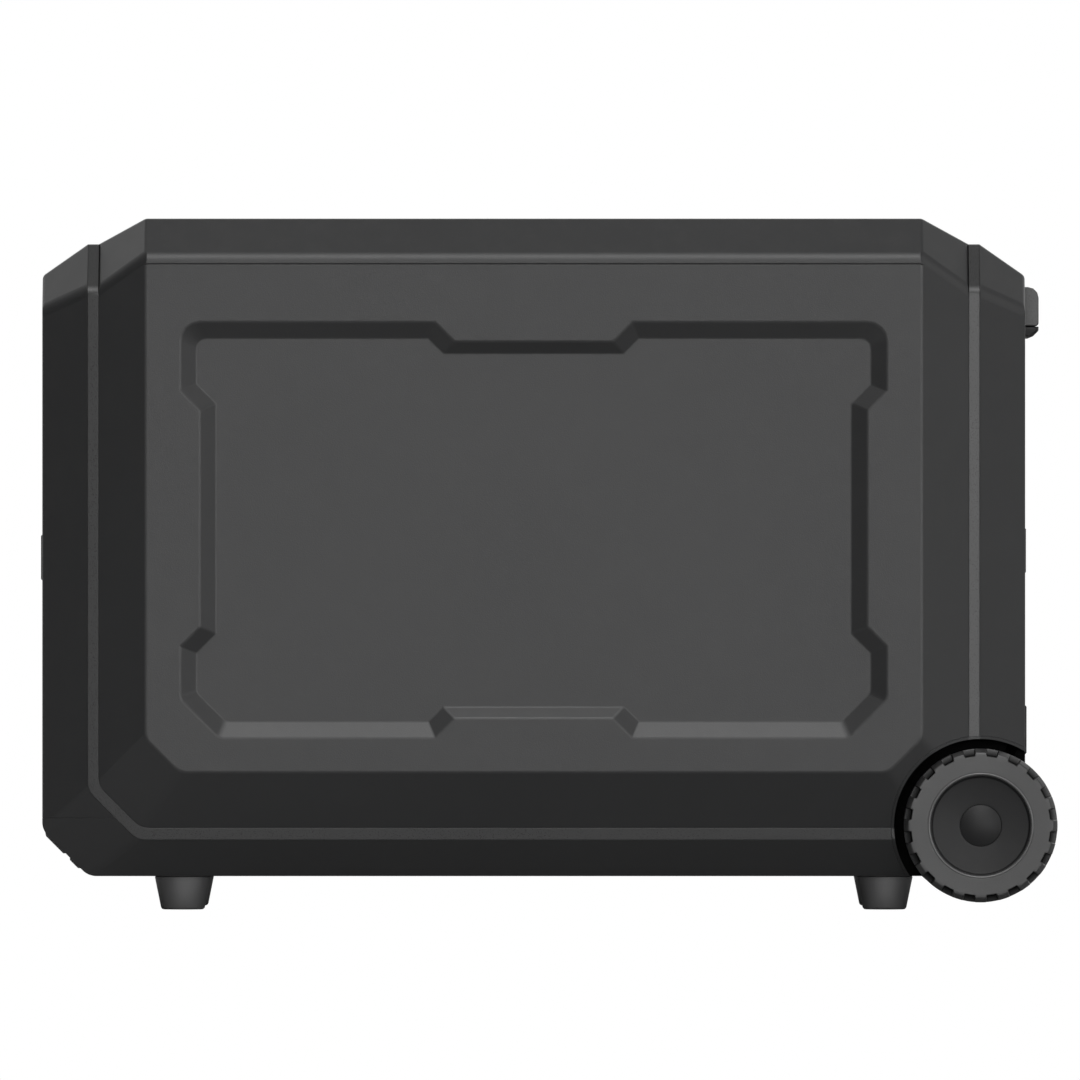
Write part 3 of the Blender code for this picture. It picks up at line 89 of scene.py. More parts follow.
class NodeSheet:
    """Small writer for a shader tree: adds nodes and joins their sockets."""

    def __init__(self, tree: bpy.types.NodeTree) -> None:
        """Starts on a node tree."""
        self.tree = tree

    def add(self, kind: str, inputs: dict | None = None, **settings: object) -> bpy.types.Node:
        """Adds one node.

        Args:
            kind: Blender's name of the node type, without its "ShaderNode" prefix.
            inputs: socket name or number to a plain value or to a socket to join.
            settings: attributes to set on the node.

        Returns:
            The new node.
        """
        prefix = "" if kind.startswith("NodeGroup") else "ShaderNode"
        node = self.tree.nodes.new(prefix + kind)
        for name, value in settings.items():
            setattr(node, name, value)
        for key, value in (inputs or {}).items():
            if isinstance(value, bpy.types.NodeSocket):
                self.tree.links.new(value, node.inputs[key])
            else:
                node.inputs[key].default_value = value
        return node

    def math(self, operation: str, *values: object) -> bpy.types.NodeSocket:
        """Joins one Math node and returns its value."""
        return self.add("Math", dict(enumerate(values)), operation=operation).outputs[0]

    def spread(self, value: object, low: float, high: float, to_low: float,
               to_high: float) -> bpy.types.NodeSocket:
        """Maps a value from one range to another, clamped, and returns it."""
        keys = {"Value": value, "From Min": low, "From Max": high,
                "To Min": to_low, "To Max": to_high}
        return self.add("MapRange", keys).outputs["Result"]

    def blend(self, share: object, first: object, second: object) -> bpy.types.NodeSocket:
        """Mixes two colours by a share and returns the colour."""
        node = self.add("Mix", {0: share, 6: first, 7: second}, data_type="RGBA")
        return node.outputs[2]

    def place(self) -> bpy.types.NodeSocket:
        """Place on the object, in metres."""
        return self.add("TexCoord").outputs["Object"]

    def bump(self, height: object, distance: float, strength: float) -> bpy.types.NodeSocket:
        """Turns a height into a normal and returns it."""
        keys = {"Height": height, "Distance": distance, "Strength": strength}
        return self.add("Bump", keys).outputs[0]

    def detail(self, grain_scale: float) -> bpy.types.bpy_prop_collection:
        """Grain, patch and dust of the shared surface detail."""
        keys = {"Grain Scale": grain_scale}
        return self.add("Group", keys, node_tree=surface_group()).outputs

    def feed(self, shader: bpy.types.Node, **sockets: bpy.types.NodeSocket) -> None:
        """Joins sockets to a shader's inputs, named with _ in place of spaces."""
        for name, socket in sockets.items():
            self.tree.links.new(socket, shader.inputs[name.replace("_", " ")])

    def end_white(self, output: str, shader: bpy.types.Node, white: bpy.types.Node) -> None:
        """Ends the tree with the white node for the camera and the shader for all else."""
        ray = self.add("LightPath").outputs["Is Camera Ray"]
        mixed = self.add("MixShader", {0: ray, 1: shader.outputs[0], 2: white.outputs[0]})
        self.add(output, {"Surface": mixed.outputs[0]})


def surface_group() -> bpy.types.NodeTree:
    """Builds the shared surface detail, as masks and a height.

    Grain is fine noise over cells of a coarser one, as on eroded mould steel. Patch is a broad
    soft noise. Dust is a broken noise that is stronger on surfaces that look up.

    Returns:
        The group with its sockets.
    """
    found = bpy.data.node_groups.get("surface_detail")
    if found:
        return found
    group = bpy.data.node_groups.new("surface_detail", "ShaderNodeTree")
    face = group.interface
    face.new_socket("Grain Scale", in_out="INPUT", socket_type="NodeSocketFloat")
    for name in ("Grain", "Patch", "Dust"):
        face.new_socket(name, in_out="OUTPUT", socket_type="NodeSocketFloat")
    sheet = NodeSheet(group)
    entry = sheet.add("NodeGroupInput")
    place = sheet.place()
    fine = sheet.add("TexNoise", {"Vector": place, "Scale": entry.outputs["Grain Scale"],
                                  "Detail": 3.0, "Roughness": 0.6})
    cells = sheet.add("TexVoronoi", {"Vector": place, "Scale": entry.outputs["Grain Scale"]})
    grain = sheet.math("ADD", fine.outputs[0], sheet.math("MULTIPLY", cells.outputs[0], 0.5))
    broad = sheet.add("TexNoise", {"Vector": place, "Scale": 9.0, "Detail": 4.0})
    patch = sheet.spread(broad.outputs[0], 0.3, 0.7, 0.0, 1.0)
    normal = sheet.add("SeparateXYZ", {0: sheet.add("NewGeometry").outputs["Normal"]})
    upward = sheet.spread(normal.outputs[2], -0.2, 1.0, 0.15, 1.0)
    specks = sheet.add("TexNoise", {"Vector": place, "Scale": 60.0, "Detail": 6.0,
                                    "Roughness": 0.7})
    dirty = sheet.spread(specks.outputs[0], 0.45, 0.75, 0.0, 1.0)
    dust = sheet.math("MULTIPLY", upward, dirty)
    sheet.add("NodeGroupOutput", {"Grain": grain, "Patch": patch, "Dust": dust})
    return group


def streak_group() -> bpy.types.NodeTree:
    """Builds brushing: noise drawn out along Z, so that it reads as fine parallel lines.

    Returns:
        The group with one height output.
    """
    found = bpy.data.node_groups.get("brushing")
    if found:
        return found
    group = bpy.data.node_groups.new("brushing", "ShaderNodeTree")
    group.interface.new_socket("Lines", in_out="OUTPUT", socket_type="NodeSocketFloat")
    sheet = NodeSheet(group)
    place = sheet.place()
    drawn = sheet.add("Mapping", {"Vector": place, "Scale": (900.0, 900.0, 18.0)})
    lines = sheet.add("TexNoise", {"Vector": drawn.outputs[0], "Scale": 1.0, "Detail": 3.0})
    sheet.add("NodeGroupOutput", {0: lines.outputs[0]})
    return group


@dataclass(frozen=True)
class Finish:
    """Base of every finish: a name, a record slot and a Principled surface."""

    name: str
    slot: str
    colour: tuple[float, float, float]
    roughness: float = 0.45
    metallic: float = 0.0
    specular: float = 0.5

    def build(self) -> bpy.types.Material:
        """Makes the material, or returns it when it was made before."""
        name = self.name + "_finish"
        found = bpy.data.materials.get(name)
        if found:
            return found
        material = bpy.data.materials.new(name)
        material.use_nodes = True
        sheet = NodeSheet(material.node_tree)
        shader = material.node_tree.nodes["Principled BSDF"]
        shader.inputs["Metallic"].default_value = self.metallic
        shader.inputs["Specular IOR Level"].default_value = self.specular
        self.paint(sheet, shader)
        return material

    def paint(self, sheet: NodeSheet, shader: bpy.types.Node) -> None:
        """Joins this finish's nodes to the shader.

        Args:
            sheet: writer on the material's tree.
            shader: the Principled BSDF.
        """
        raise NotImplementedError

    def shade(self, factor: float) -> tuple[float, float, float, float]:
        """The finish's colour times a factor, with full alpha."""
        return (*(min(1.0, part * factor) for part in self.colour), 1.0)


@dataclass(frozen=True)
class MouldedPlastic(Finish):
    """Moulded plastic with an eroded grain, faint patches and a little dust."""

    grain_scale: float = 1400.0
    grain_depth: float = 0.00006
    patch: float = 0.06
    dust: float = 0.05

    def paint(self, sheet: NodeSheet, shader: bpy.types.Node) -> None:
        """Joins grain, patches and dust; see the base class."""
        grain, patch, dust = sheet.detail(self.grain_scale)
        body = sheet.blend(patch, self.shade(1 - self.patch), self.shade(1 + self.patch))
        speck = sheet.spread(grain, 0.35, 0.95, 0.0, 1.0)
        body = sheet.blend(sheet.math("MULTIPLY", speck, 0.25), body, self.shade(1.5))
        body = sheet.blend(sheet.math("MULTIPLY", dust, self.dust), body, DUST)
        rough = sheet.math("ADD", sheet.spread(grain, 0.3, 1.0, self.roughness - 0.05,
                                               self.roughness + 0.06),
                           sheet.math("MULTIPLY", patch, 0.02))
        sheet.feed(shader, Base_Color=body, Roughness=rough,
                   Normal=sheet.bump(grain, self.grain_depth, 0.8))


@dataclass(frozen=True)
class Rubber(Finish):
    """Matt rubber with a soft fine grain, a bloom in patches and painted shade in its
    recesses.

    A point attribute named recess, where a mesh has one, is 1 down in its grooves, which are
    painted near black and matt as shade.
    """

    bloom: float = 0.2
    grain_scale: float = 700.0
    grain_depth: float = 0.00005

    def paint(self, sheet: NodeSheet, shader: bpy.types.Node) -> None:
        """Joins bloom, painted shade in the recesses and grain; see the base class."""
        grain, patch, dust = sheet.detail(self.grain_scale)
        body = sheet.blend(sheet.math("MULTIPLY", patch, self.bloom), self.shade(0.9),
                           self.shade(1.5))
        body = sheet.blend(sheet.math("MULTIPLY", dust, 0.06), body, RUBBER_DUST)
        # Painted shade: the grooves turn near black and lose their gloss.
        deep = sheet.add("Attribute", attribute_name="recess").outputs["Fac"]
        body = sheet.blend(deep, body, RUBBER_SHADOW)
        gloss = sheet.spread(deep, 0.0, 1.0, self.specular, 0.03)
        rough = sheet.spread(patch, 0.0, 1.0, self.roughness - 0.06, self.roughness + 0.06)
        sheet.feed(shader, Base_Color=body, Specular_IOR_Level=gloss, Roughness=rough,
                   Normal=sheet.bump(grain, self.grain_depth, 0.7))


@dataclass(frozen=True)
class ArchPlastic(MouldedPlastic):
    """Case plastic on the arch's lip, with painted shade inside the wheel's circle: near black
    and without gloss.
    """

    circle: float = 0.0561
    fade: float = 0.0004

    def paint(self, sheet: NodeSheet, shader: bpy.types.Node) -> None:
        """Joins the painted shade inside the circle over the plastic; see the base class."""
        super().paint(sheet, shader)
        low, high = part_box("tyre_left")
        hub = ((low.x + high.x) / 2, 0.0, (low.z + high.z) / 2)
        place = sheet.place()
        flat = sheet.add("VectorMath", {0: place, 1: (1.0, 0.0, 1.0)},
                         operation="MULTIPLY").outputs[0]
        away = sheet.add("VectorMath", {0: flat, 1: hub}, operation="DISTANCE")
        inside = sheet.spread(away.outputs["Value"], self.circle, self.circle + self.fade,
                              1.0, 0.0)
        # Painted shade in the wheel well: near black and matt inside the circle.
        colour = shader.inputs["Base Color"].links[0].from_socket
        dark = sheet.blend(inside, colour, ARCH_SHADOW)
        gloss = sheet.spread(inside, 0.0, 1.0, self.specular, 0.02)
        sheet.feed(shader, Base_Color=dark, Specular_IOR_Level=gloss)


@dataclass(frozen=True)
class BrushedMetal(Finish):
    """Metal with fine drawn lines, cloudy patches and duller smears."""

    line_depth: float = 0.00002
    grain_scale: float = 300.0

    def paint(self, sheet: NodeSheet, shader: bpy.types.Node) -> None:
        """Joins brushing and patches; see the base class."""
        lines = sheet.add("Group", node_tree=streak_group()).outputs[0]
        patch = sheet.detail(self.grain_scale)[1]
        body = sheet.blend(patch, self.shade(0.86), self.shade(1.06))
        body = sheet.blend(sheet.spread(lines, 0.3, 0.7, 0.0, 0.35), body, self.shade(0.7))
        rough = sheet.math("ADD", sheet.spread(lines, 0.3, 0.7, self.roughness - 0.05,
                                               self.roughness + 0.08),
                           sheet.math("MULTIPLY", patch, 0.06))
        sheet.feed(shader, Base_Color=body, Roughness=rough,
                   Normal=sheet.bump(lines, self.line_depth, 0.6))


@dataclass(frozen=True)
class SmokedWindow(Finish):
    """Gloss window of smoked plastic with faint wipe marks under a clear coat."""

    def paint(self, sheet: NodeSheet, shader: bpy.types.Node) -> None:
        """Joins wipe marks; see the base class."""
        place = sheet.place()
        wipes = sheet.add("TexNoise", {"Vector": place, "Scale": 45.0, "Detail": 5.0,
                                       "Distortion": 1.5}).outputs[0]
        body = sheet.blend(wipes, self.shade(0.7), self.shade(1.6))
        rough = sheet.spread(wipes, 0.4, 0.7, self.roughness, self.roughness + 0.12)
        sheet.feed(shader, Base_Color=body, Roughness=rough)
        shader.inputs["Coat Weight"].default_value = 0.6
        shader.inputs["Coat Roughness"].default_value = 0.05


@dataclass(frozen=True)
class CellWrap(Finish):
    """Shrink film over a cell: satin, with fine wrinkles."""

    def paint(self, sheet: NodeSheet, shader: bpy.types.Node) -> None:
        """Joins wrinkles; see the base class."""
        place = sheet.place()
        long = sheet.add("Mapping", {"Vector": place, "Scale": (60.0, 60.0, 14.0)})
        folds = sheet.add("TexNoise", {"Vector": long.outputs[0], "Scale": 1.0,
                                       "Detail": 4.0}).outputs[0]
        body = sheet.blend(folds, self.shade(0.85), self.shade(1.2))
        rough = sheet.spread(folds, 0.3, 0.7, self.roughness - 0.06, self.roughness + 0.1)
        sheet.feed(shader, Base_Color=body, Roughness=rough,
                   Normal=sheet.bump(folds, 0.0004, 0.5))


@dataclass(frozen=True)
class SolderResist(Finish):
    """Circuit board: resist over raised copper runs laid out in right-angled cells."""

    def paint(self, sheet: NodeSheet, shader: bpy.types.Node) -> None:
        """Joins the runs; see the base class."""
        place = sheet.place()
        runs = sheet.add("TexVoronoi", {"Vector": place, "Scale": 110.0}, feature="F1",
                         distance="CHEBYCHEV").outputs[0]
        bands = sheet.math("PINGPONG", sheet.math("MULTIPLY", runs, 3.0), 0.5)
        track = sheet.spread(bands, 0.20, 0.28, 0.0, 1.0)
        body = sheet.blend(track, self.shade(0.7), self.shade(1.9))
        rough = sheet.spread(track, 0.0, 1.0, self.roughness + 0.05, self.roughness - 0.1)
        sheet.feed(shader, Base_Color=body, Roughness=rough,
                   Normal=sheet.bump(track, 0.00004, 0.8))


CASE = MouldedPlastic("case_plastic", "shell_plastic", (0.0195, 0.0198, 0.0203), 0.36,
                      specular=0.62)
BELT = MouldedPlastic("belt_plastic", "belt_plastic", (0.024, 0.0241, 0.0244), 0.27,
                      specular=0.7, grain_depth=0.00002)
ARCH = ArchPlastic("arch_plastic", "black_plastic", (0.0195, 0.0198, 0.0203), 0.36,
                   specular=0.62)
# The ring's slot is black plastic; its lighter grey paints in a highlight on the ring.
RING_PAINTED_HIGHLIGHT = MouldedPlastic("ring_painted_highlight", "black_plastic", (0.085, 0.085, 0.085), 0.30,
                      specular=0.9, grain_depth=0.00001)
BLACK = MouldedPlastic("black_plastic", "black_plastic", (0.010, 0.010, 0.0105), 0.46,
                       specular=0.4)
RED = MouldedPlastic("red_plastic", "red_plastic", (0.42, 0.018, 0.014), 0.4)
FOOT = Rubber("foot_rubber", "foot_rubber", (0.088, 0.088, 0.089), 0.46, specular=0.7)
TYRE = Rubber("tyre_rubber", "tyre_rubber", (0.030, 0.030, 0.0303), 0.34, specular=0.75)
ZINC = BrushedMetal("zinc_steel", "zinc_steel", (0.46, 0.46, 0.47), 0.34, metallic=1.0)
TUBE = BrushedMetal("tube_aluminium", "tube_aluminium", (0.60, 0.61, 0.63), 0.28,
                    metallic=1.0)
COPPER = BrushedMetal("copper", "copper", (0.72, 0.38, 0.22), 0.28, metallic=1.0)
WINDOW = SmokedWindow("display_window", "display_window", (0.006, 0.008, 0.010), 0.07)
WRAP = CellWrap("cell_wrap", "cell_wrap", (0.03, 0.11, 0.30), 0.32)
BOARD = SolderResist("circuit_board", "circuit_board", (0.02, 0.16, 0.06), 0.45)
LEVEL = MouldedPlastic("level_light", "display_window", (0.09, 0.36, 0.15), 0.22,
                       specular=0.8, grain_depth=0.00001)
FINISHES = {finish.slot: finish for finish in (
    CASE, BELT, BLACK, RED, FOOT, TYRE, ZINC, TUBE, COPPER, WINDOW, WRAP, BOARD)}


# ---- surfaces ------------------------------------------------------------------------------

def add_object(name: str, data: bpy.types.ID) -> bpy.types.Object:
    """Puts a new object with this data in the scene and returns it."""
    made = bpy.data.objects.new(name, data)
    bpy.context.scene.collection.objects.link(made)
    return made


def add_piece(name: str, mesh: bpy.types.Mesh, finish: Finish, body: str,
              *nodes: str) -> bpy.types.Object:
    """Puts a mesh in the scene as a finished piece.

    Args:
        name: the piece's name.
        mesh: its mesh, in place.
        finish: its surface.
        body: the CAD body that it rides on.
        nodes: CAD nodes that it stands for.

    Returns:
        The new object.
    """
    piece = add_object(name, mesh)
    mesh.materials.clear()
    mesh.materials.append(finish.build())
    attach(piece, body)
    if nodes:
        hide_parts(*nodes)
    LOG.info("%s: %d faces on %s", name, len(mesh.polygons), body)
    return piece


def settle(shape: bmesh.types.BMesh, mesh: bpy.types.Mesh, sharp: float) -> None:
    """Writes a shape into a mesh and frees it; edges over sharp degrees stay sharp."""
    shape.to_mesh(mesh)
    shape.free()
    mesh.shade_smooth()
    mesh.set_sharp_from_angle(angle=math.radians(sharp))


def merged_copy(node: str) -> bmesh.types.BMesh:
    """Copies a CAD node's mesh, with its points welded and its flat triangles joined."""
    shape = bmesh.new()
    shape.from_mesh(frame["nodes"][node].data)
    bmesh.ops.remove_doubles(shape, verts=shape.verts, dist=WELD_DISTANCE)
    bmesh.ops.dissolve_limit(shape, angle_limit=FLAT_ANGLE, verts=shape.verts,
                             edges=shape.edges, use_dissolve_boundaries=False)
    return shape


def grid_mesh(name: str, points: np.ndarray, sharp: float = 35.0,
              wraps: bool = True) -> bpy.types.Mesh:
    """Closed mesh over a grid of points whose columns go round.

    Point (i, j) joins (i + 1, j) and (i, j + 1), and the last column joins the first. Points
    that fall together at a pole are merged, and the normals are turned outwards.

    Args:
        name: the mesh's name.
        points: array of shape (rows, columns, 3).
        sharp: angle in degrees over which an edge stays sharp.
        wraps: whether the last row joins the first; a sweep between two poles doesn't.

    Returns:
        The mesh.
    """
    rows, columns = points.shape[:2]
    index = np.arange(rows * columns).reshape(rows, columns)
    right = np.roll(index, -1, axis=1)
    quads = np.stack([index, right, np.roll(right, -1, axis=0), np.roll(index, -1, axis=0)],
                     axis=-1)
    quads = quads if wraps else quads[:-1]
    mesh = bpy.data.meshes.new(name)
    mesh.from_pydata(points.reshape(-1, 3).tolist(), [], quads.reshape(-1, 4).tolist())
    shape = bmesh.new()
    shape.from_mesh(mesh)
    bmesh.ops.remove_doubles(shape, verts=shape.verts, dist=POLE_DISTANCE)
    bmesh.ops.recalc_face_normals(shape, faces=shape.faces)
    settle(shape, mesh, sharp)
    return mesh


def rounded_profile(points: list[tuple[float, float, float]], steps: int = 5) -> np.ndarray:
    """Closed profile whose corners are arcs.

    Each point is (u, v, radius). A corner's arc is tangent to both of its edges: its centre
    lies on the bisector, radius / sin(half angle) from the corner.

    Args:
        points: corners in order.
        steps: arc steps at each rounded corner.

    Returns:
        Array of (u, v).
    """
    corners = np.array(points, float)
    place, radius = corners[:, :2], corners[:, 2]
    back = np.roll(place, 1, axis=0) - place
    ahead = np.roll(place, -1, axis=0) - place
    back /= np.linalg.norm(back, axis=1, keepdims=True)
    ahead /= np.linalg.norm(ahead, axis=1, keepdims=True)
    half = np.arccos(np.clip((back * ahead).sum(1), -1, 1)) / 2
    bisector = back + ahead
    bisector /= np.maximum(np.linalg.norm(bisector, axis=1, keepdims=True), 1e-9)
    centre = place + bisector * (radius / np.sin(half))[:, None]
    start = place + back * (radius / np.tan(half))[:, None] - centre
    end = place + ahead * (radius / np.tan(half))[:, None] - centre
    sweep = np.arctan2(start[:, 0] * end[:, 1] - start[:, 1] * end[:, 0],
                       (start * end).sum(1))
    share = np.linspace(0, 1, steps + 1)
    angle = sweep[:, None] * share
    u = start[:, :1] * np.cos(angle) - start[:, 1:] * np.sin(angle)
    v = start[:, :1] * np.sin(angle) + start[:, 1:] * np.cos(angle)
    arcs = centre[:, None, :] + np.stack([u, v], axis=-1)
    arcs = np.where(radius[:, None, None] > 0, arcs, place[:, None, :])
    flat = arcs.reshape(-1, 2)
    keep = np.linalg.norm(flat - np.roll(flat, 1, axis=0), axis=1) > 1e-7
    return flat[keep]


def spun(profile: np.ndarray, axis: Axis, centre: Vector, segments: int = 96) -> np.ndarray:
    """Surface of a (radius, place) profile spun about an axis.

    Args:
        profile: closed profile; a radius of 0 makes a pole.
        axis: axis to spin about.
        centre: point on the axis; the places are added to it.
        segments: steps round the axis.

    Returns:
        Grid of points, profile along the rows.
    """
    angle = np.arange(segments) * TAU / segments
    radius, place = profile[:, :1], profile[:, 1:]
    first, second = radius * np.cos(angle), radius * np.sin(angle)
    along = np.broadcast_to(place, first.shape)
    order = {Axis.X: (along, first, second), Axis.Y: (first, along, second),
             Axis.Z: (first, second, along)}[axis]
    return np.stack(order, axis=-1) + np.array(centre)


def smooth_step(value: np.ndarray, low: float, high: float) -> np.ndarray:
    """Rises from 0 at low to 1 at high on the curve 3t^2 - 2t^3."""
    share = np.clip((value - low) / (high - low), 0, 1)
    return share * share * (3 - 2 * share)


# ---- case ----------------------------------------------------------------------------------

@dataclass(frozen=True)
class EdgeRounds:
    """Widths in metres that the edges of a moulded shell are rounded over."""

    soft: float = 0.0052
    brow: float = 0.0034
    corner: float = 0.0022
    fold: float = 0.0012
    seam: float = 0.0020
    lip: float = 0.0006
    rim: float = 0.0002
    hollow: float = 0.0008


@dataclass
class Case:
    """Moulded shells of the case, with real edge radii on the CAD shapes."""

    rounds: EdgeRounds = EdgeRounds()
    rim_angle: float = math.radians(58)
    least_angle: float = math.radians(14)
    soft_above: float = 0.385
    closing: float = 0.00012
    belt_lean: float = 0.0009
    belt_end: float = 0.28675
    belt_low: float = 0.0496
    belt_corner: float = 0.207
    belt_side: float = 0.157
    short_edge: float = 0.0012
    short_fold: float = 0.0014
    seam_low: float = 0.39
    seam_high: float = 0.422
    seam_side: float = 0.12
    facing: float = 0.9
    beside: float = 0.1
    upright: float = 0.05
    slanted: float = 0.2
    sharp: float = 18.0
    segments: int = 6
    flat_weight: int = 60
    middle: Vector = field(default_factory=lambda: Vector((0.0, 0.0, 0.235)))
    reach: Vector = field(default_factory=lambda: Vector((0.32, 0.175, 0.215)))
    shells: dict[str, Finish] = field(default_factory=lambda: {
        "top_cover": CASE, "side_cover_left": CASE, "side_cover_right": CASE,
        "front_end_cap": CASE, "rear_end_cap": CASE, "base_tray": CASE,
        "belt_trim_front": BELT, "belt_trim_rear": BELT,
        "wheel_arch_left": ARCH, "wheel_arch_right": ARCH})

    def faces_out(self, face: bmesh.types.BMFace) -> bool:
        """Whether a face looks out of the case.

        The test is the sign of the normal against the gradient of the sum of (place / reach)^8
        over the three axes, which points out of a box with rounded edges.
        """
        place = face.calc_center_median() - self.middle
        slope = Vector(((place[i] / self.reach[i]) ** 7 / self.reach[i] for i in range(3)))
        return face.normal.dot(slope) > 0

    def outward(self, vert: bmesh.types.BMVert) -> Vector:
        """The least move that takes every face at a point outwards by the closing width."""
        normals = np.array([face.normal for face in vert.link_faces])
        wanted = np.full(len(normals), self.closing)
        move = np.linalg.lstsq(normals, wanted, rcond=0.05)[0]
        return Vector(move * min(1.0, 3 * self.closing / max(np.linalg.norm(move), 1e-9)))

    def lean(self, vert: bmesh.types.BMVert) -> None:
        """Sets a belt's outer edge back a little, so that its face leans outwards.

        A point is at the outer edge where it is past the belt's end, under its low run, or
        past its diagonal, where distance along less height is more than belt_corner.

        Args:
            vert: a point of a belt, which is moved.
        """
        low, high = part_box("top_cover")
        along = abs(vert.co.x - (low.x + high.x) / 2)
        beyond = max(along - self.belt_end, self.belt_low - vert.co.z,
                     along - vert.co.z - self.belt_corner)
        if beyond > 0 and abs(vert.co.y) > self.belt_side:
            vert.co.y -= math.copysign(self.belt_lean, vert.co.y)

    def edge_width(self, edge: bmesh.types.BMEdge) -> float:
        """Width that an edge is rounded over.

        Args:
            edge: an edge of a merged shell.

        Returns:
            0 for a flat, inner or tiny edge, and otherwise one of the rounds: hollow in a
            recess, seam and lip under and over the top cover's joint, rim on any other sharp
            edge, brow along the top of the sides, corner at an end's face, soft where an end
            slope turns into an upper slope, and fold on the rest.
        """
        if len(edge.link_faces) != 2:
            return 0.0
        first, second = edge.link_faces
        angle, length = edge.calc_face_angle(), edge.calc_length()
        out = self.faces_out(first) + self.faces_out(second)
        if angle < self.least_angle or not out:
            return 0.0
        if not edge.is_convex:
            return self.rounds.hollow if out == 2 and length > self.short_edge else 0.0
        low = min(vert.co.z for vert in edge.verts)
        flat, tilted = sorted((abs(first.normal.z), abs(second.normal.z)))
        if angle > self.rim_angle:
            on_seam = tilted > self.facing and flat < self.beside
            on_seam = on_seam and self.seam_low < low < self.seam_high
            if on_seam and abs(edge.verts[0].co.y) > self.seam_side:
                faces_up = max(first.normal.z, second.normal.z) > self.facing
                return self.rounds.seam if faces_up else self.rounds.lip
            return self.rounds.rim if length > self.short_edge else 0.0
        if out < 2:
            return 0.0
        if low > self.soft_above and flat < self.upright and tilted > self.slanted:
            along = max(abs(first.normal.x), abs(second.normal.x))
            if along < self.upright:
                return self.rounds.brow
            return self.rounds.corner if along > self.facing else self.rounds.soft
        return self.rounds.fold if length > self.short_fold else 0.0

    def shell(self, node: str, finish: Finish) -> None:
        """Copies one CAD shell, joins its flat triangles and rounds its edges.

        The copy is grown by a little, so that a seam shows as a fine line.

        Args:
            node: the CAD node.
            finish: its surface.
        """
        shape = merged_copy(node)
        layer = shape.edges.layers.float.new("bevel_weight_edge")
        for edge in shape.edges:
            edge[layer] = self.edge_width(edge) / self.rounds.soft
        moves = [self.outward(vert) for vert in shape.verts]
        for vert, move in zip(shape.verts, moves):
            vert.co += move
            if node.startswith("belt"):
                self.lean(vert)
        mesh = bpy.data.meshes.new(node + "_shell")
        settle(shape, mesh, self.sharp)
        piece = add_piece(node + "_shell", mesh, finish, "housing", node)
        rounding = piece.modifiers.new("Rounding", "BEVEL")
        rounding.limit_method = "WEIGHT"
        rounding.width = self.rounds.soft
        rounding.segments = self.segments
        rounding.use_clamp_overlap = False
        rounding.harden_normals = True
        flatten = piece.modifiers.new("Flat_Faces", "WEIGHTED_NORMAL")
        flatten.keep_sharp = True
        flatten.weight = self.flat_weight

    def build(self) -> None:
        """Builds every shell."""
        for node, finish in self.shells.items():
            self.shell(node, finish)


# ---- wheels and feet -----------------------------------------------------------------------

